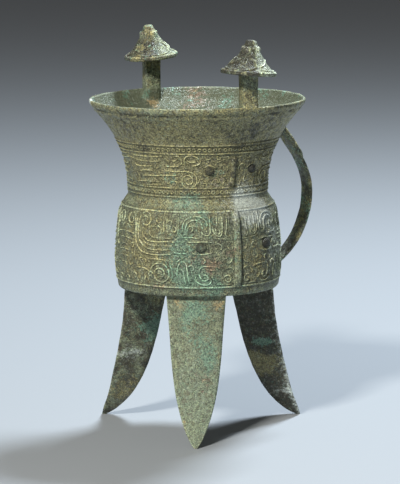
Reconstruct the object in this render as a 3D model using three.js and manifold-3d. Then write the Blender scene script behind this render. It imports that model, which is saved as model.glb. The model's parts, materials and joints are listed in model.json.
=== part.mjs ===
// Jia: a three-legged bronze vessel for warming wine, with a strap handle and two capped posts on its lip.
// One casting. Millimetres, +Z up, feet on Z = 0, the handle toward +X and the posts and masks on -Y and +Y.

import * as THREE from 'three';
import { mergeVertices } from 'three/addons/utils/BufferGeometryUtils.js';
import Module from 'manifold-3d';

const wasm = await Module();
wasm.setup();

// Driving dimensions: heights of each part of the vessel, one above the other, and radii from its axis
const WALL = 2.6;
const FLOOR = 3.2;
const ROUND_STEPS = 36;

const LEG_HEIGHT = 113.4;
const BELLY_HEIGHT = 57.6;
const BELLY_SWELL_HEIGHT = 24.6;
const SHOULDER_ROUND_HEIGHT = 9.6;
const SHOULDER_SLOPE_HEIGHT = 6.2;
const NECK_HEIGHT = 64.2;
const LIP_HEIGHT = 11;
const POST_HEIGHT = 24.4;

const BELLY_RADIUS = 65.2;
const BELLY_EDGE_INSET = 2;
const SHOULDER_INSET = 2.8;
const SHOULDER_ROUND_DEPTH = 3.1;
const SHOULDER_POWER = 1.4;
const NECK_RADIUS = 55;
const RIM_RADIUS = 85.3;
const LIP_REACH = 6.3;
const FLARE_POWER = 2.4;
const LIP_POWER = 1.9;
const LIP_THICKNESS = 2.2;
const LIP_BAND = 5.6;
const LIP_BAND_PROUD = 0.9;

const LEG_COUNT = 3;
const FOOT_RADIUS = 92.1;
const LEG_INSET = 8.9;
const LEG_WIDTH = 46.6;
const LEG_DEPTH = 26.3;
const LEG_SUNK = 1.6;
const LEG_FACE_CROWN = 4.6;
const LEG_TIP_CROWN = 1.3;

const HANDLE_WIDTH = 15;
const HANDLE_THICKNESS = 2.8;
const HANDLE_HEAD_THICKNESS = 4.8;
const HANDLE_HEAD_SHARE = 0.24;
const HANDLE_CLEARANCE = 32.4;
const HANDLE_FOOT_RISE = 9.1;
const HANDLE_HEAD_DROP = 10;

const POST_INSET = 4.9;
const POST_WIDTH = 13.4;
const POST_DEPTH = 8;
const POST_SHIFT = 1.4;
const POST_ROOT = 10;
const CAP_RADIUS = 21.8;
const CAP_BRIM_EDGE = 2.4;
const CAP_RISE = 27;
const CAP_KNOB_RADIUS = 6.6;
const CAP_KNOB_HEIGHT = 7.6;
const CAP_KNOB_TOP_RADIUS = 3.4;
const CAP_TILT = 5.4;
const CAP_RING_RADIUS = 18.2;
const CAP_RING_PROUD = 0.7;
const CAP_HOLLOW = 1.45;
const CAP_STEPS = 18;
const SCROLL_STEPS = 7;
const SCROLL_CLOSING = 0.7;

const LINE_WIDTH = 1.9;
const LINE_PROUD = 0.75;
const LINE_SUNK = 0.6;
const BELLY_BORDER = 7.5;
const SHOULDER_BORDER = 1.6;
const NECK_BORDER = 3.4;
const NECK_LOWER_BAND_HEIGHT = 6.6;
const NECK_PANEL_HEIGHT = 26.9;
const NECK_UPPER_BAND_HEIGHT = 7.1;
const BAND_PROUD = 0.55;
const FLANGE_WIDTH = 3;
const FLANGE_PROUD = 2.4;
const BELLY_EYE = { x: 29.6, y: 30.9, across: 4.7, up: 3.4, proud: 2.2 };
const NECK_EYE = { x: 21.6, y: 13.8, across: 3.2, up: 3, proud: 1.8 };

// Heights above the feet and radii that follow from them
const BELLY_BOTTOM = LEG_HEIGHT;
const BELLY_WIDEST_HEIGHT = BELLY_BOTTOM + BELLY_SWELL_HEIGHT;
const SHOULDER_BOTTOM = BELLY_BOTTOM + BELLY_HEIGHT;
const SHOULDER_BREAK_HEIGHT = SHOULDER_BOTTOM + SHOULDER_ROUND_HEIGHT;
const NECK_BOTTOM = SHOULDER_BREAK_HEIGHT + SHOULDER_SLOPE_HEIGHT;
const FLARE_TOP = NECK_BOTTOM + NECK_HEIGHT;
const RIM_HEIGHT = FLARE_TOP + LIP_HEIGHT;
const CAP_BRIM_HEIGHT = RIM_HEIGHT + POST_HEIGHT;
const BELLY_EDGE_RADIUS = BELLY_RADIUS - BELLY_EDGE_INSET;
const SHOULDER_RADIUS = BELLY_RADIUS - SHOULDER_INSET;
const SHOULDER_BREAK_RADIUS = SHOULDER_RADIUS - SHOULDER_ROUND_DEPTH;
const FLARE_RADIUS = RIM_RADIUS - LIP_REACH;
const POST_RADIUS = RIM_RADIUS - POST_INSET;
const HANDLE_REACH = BELLY_RADIUS + HANDLE_CLEARANCE + HANDLE_THICKNESS;
const BELLY_LOWER_LINE = BELLY_BOTTOM + BELLY_BORDER;
const BELLY_UPPER_LINE = SHOULDER_BREAK_HEIGHT - SHOULDER_BORDER;
const NECK_LOWER_BAND = [NECK_BOTTOM + NECK_BORDER, NECK_BOTTOM + NECK_BORDER + NECK_LOWER_BAND_HEIGHT];
const NECK_PANEL_TOP = NECK_LOWER_BAND[1] + NECK_PANEL_HEIGHT;
const NECK_UPPER_BAND = [NECK_PANEL_TOP, NECK_PANEL_TOP + NECK_UPPER_BAND_HEIGHT];

// The masks were drawn on flat panels this wide from the middle to the end, and this high
const BELLY_PANEL = { half: 102.4, high: 58.1, from: BELLY_LOWER_LINE, to: BELLY_UPPER_LINE };
const NECK_PANEL = { half: 102.4, high: 26.9, from: NECK_LOWER_BAND[1], to: NECK_UPPER_BAND[0] };

const FULL_TURN = 2 * Math.PI;
const degrees = THREE.MathUtils.degToRad;

// Outer radius of the body at a height: belly, rounded shoulder, straight slope, then the flare of the neck
function bodyRadius(z) {
  if (z <= BELLY_WIDEST_HEIGHT) {
    const down = (BELLY_WIDEST_HEIGHT - z) / (BELLY_WIDEST_HEIGHT - BELLY_BOTTOM);
    return BELLY_RADIUS - (BELLY_RADIUS - BELLY_EDGE_RADIUS) * down ** 2;
  }
  if (z <= SHOULDER_BOTTOM) {
    const up = (z - BELLY_WIDEST_HEIGHT) / (SHOULDER_BOTTOM - BELLY_WIDEST_HEIGHT);
    return BELLY_RADIUS - (BELLY_RADIUS - SHOULDER_RADIUS) * up ** 2;
  }
  if (z <= SHOULDER_BREAK_HEIGHT) {
    const up = (z - SHOULDER_BOTTOM) / (SHOULDER_BREAK_HEIGHT - SHOULDER_BOTTOM);
    return SHOULDER_RADIUS - (SHOULDER_RADIUS - SHOULDER_BREAK_RADIUS) * up ** SHOULDER_POWER;
  }
  if (z <= NECK_BOTTOM) {
    const up = (z - SHOULDER_BREAK_HEIGHT) / (NECK_BOTTOM - SHOULDER_BREAK_HEIGHT);
    return THREE.MathUtils.lerp(SHOULDER_BREAK_RADIUS, NECK_RADIUS, up);
  }
  if (z <= FLARE_TOP) {
    const up = (z - NECK_BOTTOM) / (FLARE_TOP - NECK_BOTTOM);
    return NECK_RADIUS + (FLARE_RADIUS - NECK_RADIUS) * up ** FLARE_POWER;
  }
  const left = (RIM_HEIGHT - z) / (RIM_HEIGHT - FLARE_TOP);
  return RIM_RADIUS - (RIM_RADIUS - FLARE_RADIUS) * left ** LIP_POWER;
}

// How fast that radius grows with height
function bodySlope(z) {
  const step = 0.5;
  return (bodyRadius(z + step) - bodyRadius(z - step)) / (2 * step);
}

// A point on the body, so many millimetres proud of its surface
function onBody(angle, z, proud) {
  const slope = bodySlope(z);
  const lean = proud / Math.hypot(1, slope);
  const r = bodyRadius(z) + lean;
  return new THREE.Vector3(r * Math.cos(angle), r * Math.sin(angle), z - slope * lean);
}

// A closed three.js geometry as a solid that can be joined and cut
function solid(geometry) {
  geometry.deleteAttribute('normal');
  geometry.deleteAttribute('uv');
  const welded = mergeVertices(geometry, 1e-4);
  return new wasm.Manifold(new wasm.Mesh({
    numProp: 3,
    vertProperties: welded.attributes.position.array,
    triVerts: Uint32Array.from(welded.index.array),
  }));
}

// A turned solid about +Z from a profile of [radius, height] that starts and ends on the axis
function turned(profile, steps) {
  const points = profile.map(([r, z]) => new THREE.Vector2(r, z));
  return solid(new THREE.LatheGeometry(points, steps).rotateX(Math.PI / 2));
}

// A bar made of rings: corner(along, k) places corner k of the ring at a share 0 to 1 along it
function lofted(corners, rings, corner) {
  const bar = new THREE.CylinderGeometry(1, 1, 1, corners, rings);
  const at = bar.attributes.position;
  for (let i = 0; i < at.count; i += 1) {
    const along = 0.5 - at.getY(i);
    const turn = Math.atan2(at.getX(i), at.getZ(i)) / FULL_TURN;
    const place = new THREE.Vector3();
    if (Math.hypot(at.getX(i), at.getZ(i)) > 0.5) {
      place.copy(corner(along, Math.round((turn + 1) * corners) % corners));
    } else {
      for (let k = 0; k < corners; k += 1) place.addScaledVector(corner(along, k), 1 / corners);
    }
    at.setXYZ(i, place.x, place.y, place.z);
  }
  return solid(bar);
}

// Body: a turned cup with the border lines and the lip's band in its outline
function borderLine(z) {
  return [
    [bodyRadius(z - LINE_WIDTH / 2), z - LINE_WIDTH / 2],
    [bodyRadius(z) + LINE_PROUD, z],
    [bodyRadius(z + LINE_WIDTH / 2), z + LINE_WIDTH / 2],
  ];
}

// A low raised band between two heights, which carries the row of circlets
function borderBand([from, to]) {
  return [
    [bodyRadius(from), from],
    [bodyRadius(from) + BAND_PROUD, from + BAND_PROUD],
    [bodyRadius(to) + BAND_PROUD, to - BAND_PROUD],
    [bodyRadius(to), to],
  ];
}

function plainRows(from, to, count) {
  const rows = [];
  for (let i = 0; i < count; i += 1) {
    const z = THREE.MathUtils.lerp(from, to, count > 1 ? i / (count - 1) : 0.5);
    rows.push([bodyRadius(z), z]);
  }
  return rows;
}

function bodyOutline() {
  const bandFoot = RIM_HEIGHT - LIP_BAND;
  return [
    [0, BELLY_BOTTOM],
    [BELLY_EDGE_RADIUS, BELLY_BOTTOM],
    ...borderLine(BELLY_LOWER_LINE),
    ...plainRows(BELLY_WIDEST_HEIGHT, SHOULDER_BOTTOM, 3),
    ...borderLine(BELLY_UPPER_LINE),
    [NECK_RADIUS, NECK_BOTTOM],
    ...borderBand(NECK_LOWER_BAND),
    ...plainRows(NECK_LOWER_BAND[1], NECK_UPPER_BAND[0], 3).slice(1, 2),
    ...borderBand(NECK_UPPER_BAND),
    ...plainRows(NECK_UPPER_BAND[1] + 7, FLARE_TOP, 3),
    [bodyRadius(bandFoot) - LIP_BAND_PROUD, bandFoot],
    [bodyRadius(bandFoot), bandFoot + 0.2],
    [RIM_RADIUS, RIM_HEIGHT],
  ];
}

// The hollow, a wall's thickness inside the outline and open at the mouth
function hollow() {
  const inside = [[0, BELLY_BOTTOM + FLOOR], [BELLY_EDGE_RADIUS - WALL - 2, BELLY_BOTTOM + FLOOR]];
  const belly = [0, 2 / 3].map((up) => THREE.MathUtils.lerp(BELLY_WIDEST_HEIGHT, SHOULDER_BOTTOM, up));
  const shoulder = [0.2, 0.95].map((up) => THREE.MathUtils.lerp(SHOULDER_BOTTOM, NECK_BOTTOM, up));
  const neck = [0.3, 0.58, 0.8, 0.985].map((up) => THREE.MathUtils.lerp(NECK_BOTTOM, FLARE_TOP, up));
  for (const z of [...belly, ...shoulder, ...neck]) {
    inside.push([bodyRadius(z) - WALL * Math.hypot(1, bodySlope(z)), z]);
  }
  inside.push([RIM_RADIUS - LIP_THICKNESS, RIM_HEIGHT]);
  inside.push([RIM_RADIUS - LIP_THICKNESS, RIM_HEIGHT + 1]);
  inside.push([0, RIM_HEIGHT + 1]);
  return turned(inside, ROUND_STEPS);
}

// Legs: curved blades of triangular section that end in a point, broad face outward, a ridge inward.
// Each station is shares: of the leg's height, of its splay, of its depth and of its width.
const LEG_STATIONS = [
  [0, 1, 0.11, 0.039],
  [0.055, 0.886, 0.365, 0.232],
  [0.172, 0.669, 0.612, 0.476],
  [0.344, 0.447, 0.779, 0.691],
  [0.55, 0.246, 0.856, 0.824],
  [0.757, 0.103, 0.894, 0.901],
  [1, 0, 1, 1],
];
const legPath = {
  splay: new THREE.SplineCurve(LEG_STATIONS.map(([up, splay]) => new THREE.Vector2(up, splay))),
  depth: new THREE.SplineCurve(LEG_STATIONS.map(([up, , depth]) => new THREE.Vector2(up, depth))),
  width: new THREE.SplineCurve(LEG_STATIONS.map(([up, , , width]) => new THREE.Vector2(up, width))),
};

function leg() {
  return lofted(6, 9, (along, k) => {
    const share = 1 - along;
    const up = legPath.splay.getPoint(share).x;
    const splay = legPath.splay.getPoint(share).y;
    const face = THREE.MathUtils.lerp(BELLY_EDGE_RADIUS - LEG_INSET, FOOT_RADIUS, splay);
    const ridge = face - LEG_DEPTH * legPath.depth.getPoint(share).y;
    const half = (LEG_WIDTH / 2) * legPath.width.getPoint(share).y;
    const taper = Math.min(1, (3 * half) / (LEG_WIDTH / 2));
    const crown = THREE.MathUtils.lerp(LEG_TIP_CROWN, LEG_FACE_CROWN, up) * taper;
    const z = up * (BELLY_BOTTOM + LEG_SUNK);
    const ring = [
      [ridge, 0],
      [face, -half],
      [face + crown * 0.75, -half / 2],
      [face + crown, 0],
      [face + crown * 0.75, half / 2],
      [face, half],
    ];
    return new THREE.Vector3(ring[k][0], ring[k][1], z);
  });
}

// Handle: a flat strap bowed out from under the lip to the belly, thicker at its top for the small head.
// Each point is shares: of the way down from its head to its foot, and of the way out to its reach.
const HANDLE_BOW = [
  [0, 0], [0.122, 0.33], [0.27, 0.732], [0.405, 0.954], [0.515, 1],
  [0.641, 0.94], [0.793, 0.725], [0.911, 0.396], [1, 0],
];

function handle() {
  const reach = HANDLE_REACH - HANDLE_THICKNESS / 2;
  const head = new THREE.Vector2(0, FLARE_TOP - HANDLE_HEAD_DROP);
  const foot = new THREE.Vector2(0, BELLY_BOTTOM + HANDLE_FOOT_RISE);
  head.x = bodyRadius(head.y) - WALL;
  foot.x = BELLY_RADIUS - WALL;
  const bow = new THREE.CatmullRomCurve3(HANDLE_BOW.map(([down, out]) => {
    const seat = down < 0.5 ? head : foot;
    const z = THREE.MathUtils.lerp(head.y, foot.y, down);
    return new THREE.Vector3(THREE.MathUtils.lerp(seat.x, reach, out), 0, z);
  }));
  return lofted(4, 22, (along, k) => {
    const place = bow.getPointAt(along);
    const forward = bow.getTangentAt(along);
    const outward = new THREE.Vector3(-forward.z, 0, forward.x);
    const thick = along < HANDLE_HEAD_SHARE ? HANDLE_HEAD_THICKNESS : HANDLE_THICKNESS;
    const out = (k === 0 || k === 1) ? thick - HANDLE_THICKNESS / 2 : -HANDLE_THICKNESS / 2;
    const side = (k === 1 || k === 2) ? HANDLE_WIDTH / 2 : -HANDLE_WIDTH / 2;
    return place.addScaledVector(outward, out).add(new THREE.Vector3(0, side, 0));
  });
}

// Posts: square bars that rise out of the lip, flush with its outside, each under a conical cap
function post(side) {
  const top = CAP_BRIM_HEIGHT + CAP_BRIM_EDGE;
  const foot = RIM_HEIGHT - POST_ROOT;
  const bar = new THREE.BoxGeometry(POST_WIDTH, POST_DEPTH, top - foot);
  bar.translate(POST_SHIFT, side * POST_RADIUS, (top + foot) / 2);
  const reach = [...bodyOutline(), [RIM_RADIUS, top + 1], [0, top + 1]];
  return solid(bar).intersect(turned(reach, ROUND_STEPS));
}

function cap(side) {
  const knobFoot = CAP_RISE - CAP_KNOB_HEIGHT;
  const cone = (share) => {
    const r = THREE.MathUtils.lerp(CAP_RADIUS, CAP_KNOB_RADIUS, share);
    return [r, CAP_BRIM_EDGE + (knobFoot - CAP_BRIM_EDGE) * share ** CAP_HOLLOW];
  };
  const ringShare = (CAP_RADIUS - CAP_RING_RADIUS) / (CAP_RADIUS - CAP_KNOB_RADIUS);
  const ring = cone(ringShare);
  const profile = [
    [0, 0],
    [CAP_RADIUS, 0],
    [CAP_RADIUS, CAP_BRIM_EDGE],
    [ring[0], ring[1] + CAP_RING_PROUD],
    cone(ringShare * 1.3),
    cone(0.6),
    [CAP_KNOB_RADIUS, knobFoot],
    [CAP_KNOB_TOP_RADIUS, CAP_RISE - 1],
    [0, CAP_RISE],
  ];
  return turned(profile, CAP_STEPS)
    .rotate([0, -side * CAP_TILT, 0])
    .translate([POST_SHIFT, side * POST_RADIUS, CAP_BRIM_HEIGHT]);
}

// Relief: a place on the body from a place on a mask's panel, x out from its middle line and y up from its foot
function onPanel(panel, maskAngle, side, x, y, proud) {
  const angle = maskAngle + (side * x * Math.PI) / (2 * panel.half);
  return onBody(angle, THREE.MathUtils.lerp(panel.from, panel.to, y / panel.high), proud);
}

// A raised line along a path on the panel
function raisedLine(panel, points, maskAngle, side) {
  const path = new THREE.SplineCurve(points.map(([x, y]) => new THREE.Vector2(x, y)));
  const rings = points.length - 1;
  const spot = (along, proud) => {
    const p = path.getPoint(THREE.MathUtils.clamp(along, 0, 1));
    return onPanel(panel, maskAngle, side, p.x, p.y, proud);
  };
  return lofted(3, rings, (along, k) => {
    const forward = spot(along + 0.01, 0).sub(spot(along - 0.01, 0)).normalize();
    const outward = spot(along, 1).sub(spot(along, 0)).normalize();
    const left = outward.clone().cross(forward);
    if (k === 0) return spot(along, LINE_PROUD);
    const across = (k === 1 ? 1 : -1) * LINE_WIDTH / 2 * (1 + LINE_SUNK / LINE_PROUD);
    return spot(along, -LINE_SUNK).addScaledVector(left, across);
  });
}

// A hook or spiral: the tail's points, then an arc that winds in to a centre
function scroll(tail, centre, radius, start, turns, hand) {
  const points = [...tail];
  const steps = Math.max(3, Math.ceil(turns * SCROLL_STEPS));
  for (let i = 0; i <= steps; i += 1) {
    const share = i / steps;
    const angle = degrees(start) + hand * share * turns * FULL_TURN;
    const r = radius * (1 - SCROLL_CLOSING * share * Math.min(1, turns));
    points.push([centre[0] + r * Math.cos(angle), centre[1] + r * Math.sin(angle)]);
  }
  return points;
}

const BELLY_STROKES = [
  scroll([[43, 35.3], [56, 35.1], [68, 36.7], [78, 42.1]], [76.6, 51.3], 5.4, -20, 1.05, 1),
  [[45, 30.3], [57, 30.1], [70, 31.5], [81, 35.7], [87, 42.1], [88.4, 52.1]],
  [[47, 25.5], [59, 25.1], [72, 26.1], [84, 29.7], [92.4, 37.1], [94.4, 52.1]],
  scroll([[70, 18.1]], [61.4, 10.7], 6.2, 60, 1.35, 1),
  scroll([[11, 16.5], [19, 16.7]], [28, 10.5], 4.8, 110, 1, -1),
  scroll([[17, 37.1], [22, 38.5], [26, 42.7]], [37.2, 46.1], 7.8, 170, 1, -1),
  [[43, 3.7], [42, 11.1], [44, 18.1], [48.4, 20.7], [51.6, 15.1]],
];
// The small creature between the two masks, which the handle displaces on its own side
const FILLER_STROKES = [
  [[98.6, 5.1], [98, 16.1], [91, 20.5], [83, 19.7], [78.4, 14.1], [82, 9.7]],
];
const NECK_STROKES = [
  [[40, 17.8], [53, 17.8], [66, 17.8], [79, 17.8], [91, 17.8]],
  scroll([[88, 12.2], [75, 12.4], [62, 12.4], [50, 13.2]], [42, 8], 5.4, 70, 1.3, 1),
];

function mask(maskAngle) {
  const parts = [];
  for (const side of [1, -1]) {
    const towardHandle = Math.sign(Math.cos(maskAngle + side)) > 0;
    const onBelly = [...BELLY_STROKES, ...(towardHandle ? [] : FILLER_STROKES)];
    for (const stroke of onBelly) parts.push(raisedLine(BELLY_PANEL, stroke, maskAngle, side));
    for (const stroke of NECK_STROKES) parts.push(raisedLine(NECK_PANEL, stroke, maskAngle, side));
    for (const [panel, eye] of [[BELLY_PANEL, BELLY_EYE], [NECK_PANEL, NECK_EYE]]) {
      const seat = onPanel(panel, maskAngle, side, eye.x, eye.y, 0);
      const boss = new THREE.SphereGeometry(1, 8, 4);
      boss.scale(eye.proud, eye.across, eye.up).rotateZ(Math.atan2(seat.y, seat.x));
      boss.translate(seat.x, seat.y, seat.z);
      parts.push(solid(boss));
    }
  }
  return parts;
}

// Flanges: the plain upright ribs down the middle of each mask
function flange(maskAngle, from, to) {
  return lofted(4, 4, (along, k) => {
    const z = THREE.MathUtils.lerp(to, from, along);
    const out = (k === 0 || k === 1) ? FLANGE_PROUD : -WALL / 2;
    const across = (k === 1 || k === 2) ? FLANGE_WIDTH / 2 : -FLANGE_WIDTH / 2;
    return onBody(maskAngle, z, out).add(
      new THREE.Vector3(-Math.sin(maskAngle) * across, Math.cos(maskAngle) * across, 0),
    );
  });
}

// The casting: everything outside is joined, the hollow is cut, then the posts stand on the lip
const outer = [turned([...bodyOutline(), [0, RIM_HEIGHT]], ROUND_STEPS), handle()];
for (let i = 0; i < LEG_COUNT; i += 1) outer.push(leg().rotate([0, 0, (360 / LEG_COUNT) * i]));
const crowns = [];
for (const side of [-1, 1]) {
  const maskAngle = side * Math.PI / 2;
  outer.push(flange(maskAngle, BELLY_LOWER_LINE, BELLY_UPPER_LINE));
  outer.push(flange(maskAngle, NECK_LOWER_BAND[1], NECK_UPPER_BAND[0]));
  outer.push(...mask(maskAngle));
  crowns.push(post(side), cap(side));
}
const vessel = wasm.Manifold.union(outer).subtract(hollow()).add(wasm.Manifold.union(crowns));

const cast = vessel.getMesh();
const geometry = new THREE.BufferGeometry();
geometry.setAttribute('position', new THREE.BufferAttribute(Float32Array.from(cast.vertProperties), 3));
geometry.setIndex(new THREE.BufferAttribute(Uint32Array.from(cast.triVerts), 1));
geometry.computeVertexNormals();

const bronze = new THREE.MeshStandardMaterial({ color: 0x6d7259, roughness: 0.75, metalness: 0.3 });
const jia = new THREE.Mesh(geometry, bronze);
jia.name = 'jia_vessel';

// The origin is under the middle of the whole outline, so the handle's reach sets the axis off a little
const object = new THREE.Group();
jia.position.x = (RIM_RADIUS - HANDLE_REACH) / 2;
object.add(jia);
export default object;
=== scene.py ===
"""Jia: an ancient bronze wine vessel on three pointed legs, with a strap handle, two capped posts and
bands of animal masks in raised lines. One casting, dressed over its CAD frame. Lengths are in
millimetres and become metres where a mesh is made."""
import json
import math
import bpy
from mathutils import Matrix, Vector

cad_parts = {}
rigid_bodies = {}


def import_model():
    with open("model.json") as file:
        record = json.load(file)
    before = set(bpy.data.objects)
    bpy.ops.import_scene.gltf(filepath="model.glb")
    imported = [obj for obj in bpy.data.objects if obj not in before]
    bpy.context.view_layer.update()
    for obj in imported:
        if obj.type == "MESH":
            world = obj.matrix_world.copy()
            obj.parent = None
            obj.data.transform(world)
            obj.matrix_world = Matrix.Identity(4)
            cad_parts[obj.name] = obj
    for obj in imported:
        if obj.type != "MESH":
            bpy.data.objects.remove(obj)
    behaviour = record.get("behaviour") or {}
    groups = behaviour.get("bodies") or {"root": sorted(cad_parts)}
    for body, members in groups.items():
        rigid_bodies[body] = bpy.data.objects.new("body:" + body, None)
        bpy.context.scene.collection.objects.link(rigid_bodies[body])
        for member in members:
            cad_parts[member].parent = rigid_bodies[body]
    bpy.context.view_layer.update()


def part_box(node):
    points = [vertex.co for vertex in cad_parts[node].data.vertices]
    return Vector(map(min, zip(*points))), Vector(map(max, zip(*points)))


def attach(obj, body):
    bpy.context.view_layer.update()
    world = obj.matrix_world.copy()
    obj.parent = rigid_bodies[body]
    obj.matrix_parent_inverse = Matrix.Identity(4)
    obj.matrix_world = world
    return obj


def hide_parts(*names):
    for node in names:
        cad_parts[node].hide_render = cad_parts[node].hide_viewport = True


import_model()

# The body: one cup of bronze with a flat floor, a straight belly, a rounded shoulder and a flared neck,
# cast in clay piece moulds. It is turned from one closed outline that runs up outside and down inside.
from types import SimpleNamespace
import bmesh
import bpy
import numpy as np
from mathutils import Euler, Matrix, Vector, noise

MM = 0.001
FULL_TURN = 2 * math.pi
frame_low, frame_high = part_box("jia_vessel")

WALL = 2.6
FLOOR = 3.2
BELLY_BOTTOM = 113.4
BELLY_WIDEST = 138.0
SHOULDER_BOTTOM = 171.0
SHOULDER_BREAK = 180.6
NECK_BOTTOM = 186.8
FLARE_TOP = 251.0
RIM_HEIGHT = 262.0
BELLY_RADIUS = 65.2
BELLY_EDGE_RADIUS = 63.2
SHOULDER_RADIUS = 62.4
SHOULDER_BREAK_RADIUS = 59.3
SHOULDER_POWER = 1.4
NECK_RADIUS = 55.0
FLARE_RADIUS = 79.0
RIM_RADIUS = 85.3
FLARE_POWER = 2.4
LIP_POWER = 1.9
LIP_THICKNESS = 2.2
LIP_BAND = 5.6
LIP_BAND_PROUD = 1.3
BODY_STEPS = 180
OUTSIDE_STEP = 2.1
INSIDE_STEP = 4.6
FLOOR_STEP = 9
CAST_WOBBLE = 0.22
LIP_WOBBLE = 0.5
AXIS_X = frame_low.x / MM + RIM_RADIUS


def body_radius(z):
    """Outer radius of the body at a height above the feet"""
    if z <= BELLY_WIDEST:
        down = (BELLY_WIDEST - z) / (BELLY_WIDEST - BELLY_BOTTOM)
        return BELLY_RADIUS - (BELLY_RADIUS - BELLY_EDGE_RADIUS) * down ** 2
    if z <= SHOULDER_BOTTOM:
        up = (z - BELLY_WIDEST) / (SHOULDER_BOTTOM - BELLY_WIDEST)
        return BELLY_RADIUS - (BELLY_RADIUS - SHOULDER_RADIUS) * up ** 2
    if z <= SHOULDER_BREAK:
        up = (z - SHOULDER_BOTTOM) / (SHOULDER_BREAK - SHOULDER_BOTTOM)
        return SHOULDER_RADIUS - (SHOULDER_RADIUS - SHOULDER_BREAK_RADIUS) * up ** SHOULDER_POWER
    if z <= NECK_BOTTOM:
        up = (z - SHOULDER_BREAK) / (NECK_BOTTOM - SHOULDER_BREAK)
        return SHOULDER_BREAK_RADIUS + (NECK_RADIUS - SHOULDER_BREAK_RADIUS) * up
    if z <= FLARE_TOP:
        up = (z - NECK_BOTTOM) / (FLARE_TOP - NECK_BOTTOM)
        return NECK_RADIUS + (FLARE_RADIUS - NECK_RADIUS) * up ** FLARE_POWER
    left = max(0.0, (RIM_HEIGHT - z) / (RIM_HEIGHT - FLARE_TOP))
    return RIM_RADIUS - (RIM_RADIUS - FLARE_RADIUS) * left ** LIP_POWER


def body_slope(z):
    """How fast that radius grows with height"""
    step = 0.5
    return (body_radius(z + step) - body_radius(z - step)) / (2 * step)


def on_body(angle, z, proud):
    """A point so many millimetres proud of the body's outside"""
    slope = body_slope(z)
    lean = proud / math.hypot(1, slope)
    r = body_radius(z) + lean
    return Vector((AXIS_X + r * math.cos(angle), r * math.sin(angle), z - slope * lean))


def rough(point, size, seed):
    """Smooth seeded noise from -1 to 1 at a point, with bumps about so many millimetres across"""
    return noise.noise(Vector(point) / size + Vector((seed * 17.3, seed * 5.9, seed * 31.1)))


def closed_mesh(name, points, faces, home):
    """An object from points in metres and faces, turned so that its faces look outward"""
    mesh = bpy.data.meshes.new(name)
    mesh.from_pydata([tuple(p) for p in points], [], faces)
    work = bmesh.new()
    work.from_mesh(mesh)
    if work.calc_volume(signed=True) < 0:
        bmesh.ops.reverse_faces(work, faces=work.faces)
    work.to_mesh(mesh)
    work.free()
    piece = bpy.data.objects.new(name, mesh)
    home.objects.link(piece)
    return piece


def skin(name, rings, home):
    """A closed mesh from rings of equally many points, with a fan over each end"""
    count = len(rings[0])
    points = [Vector(p) * MM for ring in rings for p in ring]
    faces = []
    for i in range(len(rings) - 1):
        for k in range(count):
            a = i * count + k
            b = i * count + (k + 1) % count
            faces.append((a, b, b + count, a + count))
    for ring, turned_round in ((0, True), (len(rings) - 1, False)):
        middle = sum((Vector(p) for p in rings[ring]), Vector()) * (MM / count)
        points.append(middle)
        for k in range(count):
            a = ring * count + k
            b = ring * count + (k + 1) % count
            faces.append((b, a, len(points) - 1) if turned_round else (a, b, len(points) - 1))
    return closed_mesh(name, points, faces, home)


def spread(points, step):
    """The same open path with its points about a step apart"""
    path = [Vector(p) for p in points]
    out = [path[0]]
    for a, b in zip(path, path[1:]):
        parts = max(1, round((b - a).length / step))
        out += [a.lerp(b, i / parts) for i in range(1, parts + 1)]
    return out


def body_outline():
    """The cup's outline as (radius, height), from the middle of its underside round to its floor"""
    band_foot = RIM_HEIGHT - LIP_BAND
    low_heights = np.arange(BELLY_BOTTOM + 1.2, NECK_BOTTOM, OUTSIDE_STEP)
    high_heights = np.arange(NECK_BOTTOM + OUTSIDE_STEP, band_foot - 1, OUTSIDE_STEP)
    outside = [(2, BELLY_BOTTOM), (BELLY_EDGE_RADIUS - 0.8, BELLY_BOTTOM)]
    outside += [(body_radius(z), z) for z in low_heights]
    outside += [(NECK_RADIUS, NECK_BOTTOM)]
    outside += [(body_radius(z), z) for z in high_heights]
    outside += [(body_radius(band_foot) - LIP_BAND_PROUD, band_foot - 0.5)]
    outside += [(body_radius(band_foot) - 0.1, band_foot + 0.3)]
    outside += [(body_radius(RIM_HEIGHT - 2.6), RIM_HEIGHT - 2.6), (RIM_RADIUS - 0.35, RIM_HEIGHT - 0.9)]
    outside += [(RIM_RADIUS - 0.8, RIM_HEIGHT - 0.15), (RIM_RADIUS - LIP_THICKNESS, RIM_HEIGHT - 0.1)]
    inside = [(RIM_RADIUS - LIP_THICKNESS - 0.9, RIM_HEIGHT - 1.1)]
    for z in np.arange(FLARE_TOP + 5, BELLY_BOTTOM + FLOOR + 6, -INSIDE_STEP):
        inside.append((body_radius(z) - WALL * math.hypot(1, body_slope(z)), z))
    inside += [(BELLY_EDGE_RADIUS - WALL - 1, BELLY_BOTTOM + FLOOR + 3)]
    inside += [(BELLY_EDGE_RADIUS - WALL - 4, BELLY_BOTTOM + FLOOR)]
    underside = spread([(*p, 0) for p in outside[:2]], FLOOR_STEP)
    floor = spread([(*inside[-1], 0), (2, BELLY_BOTTOM + FLOOR, 0)], FLOOR_STEP)
    return [tuple(p)[:2] for p in underside] + outside[2:] + inside[:-1] + [tuple(p)[:2] for p in floor]


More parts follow.
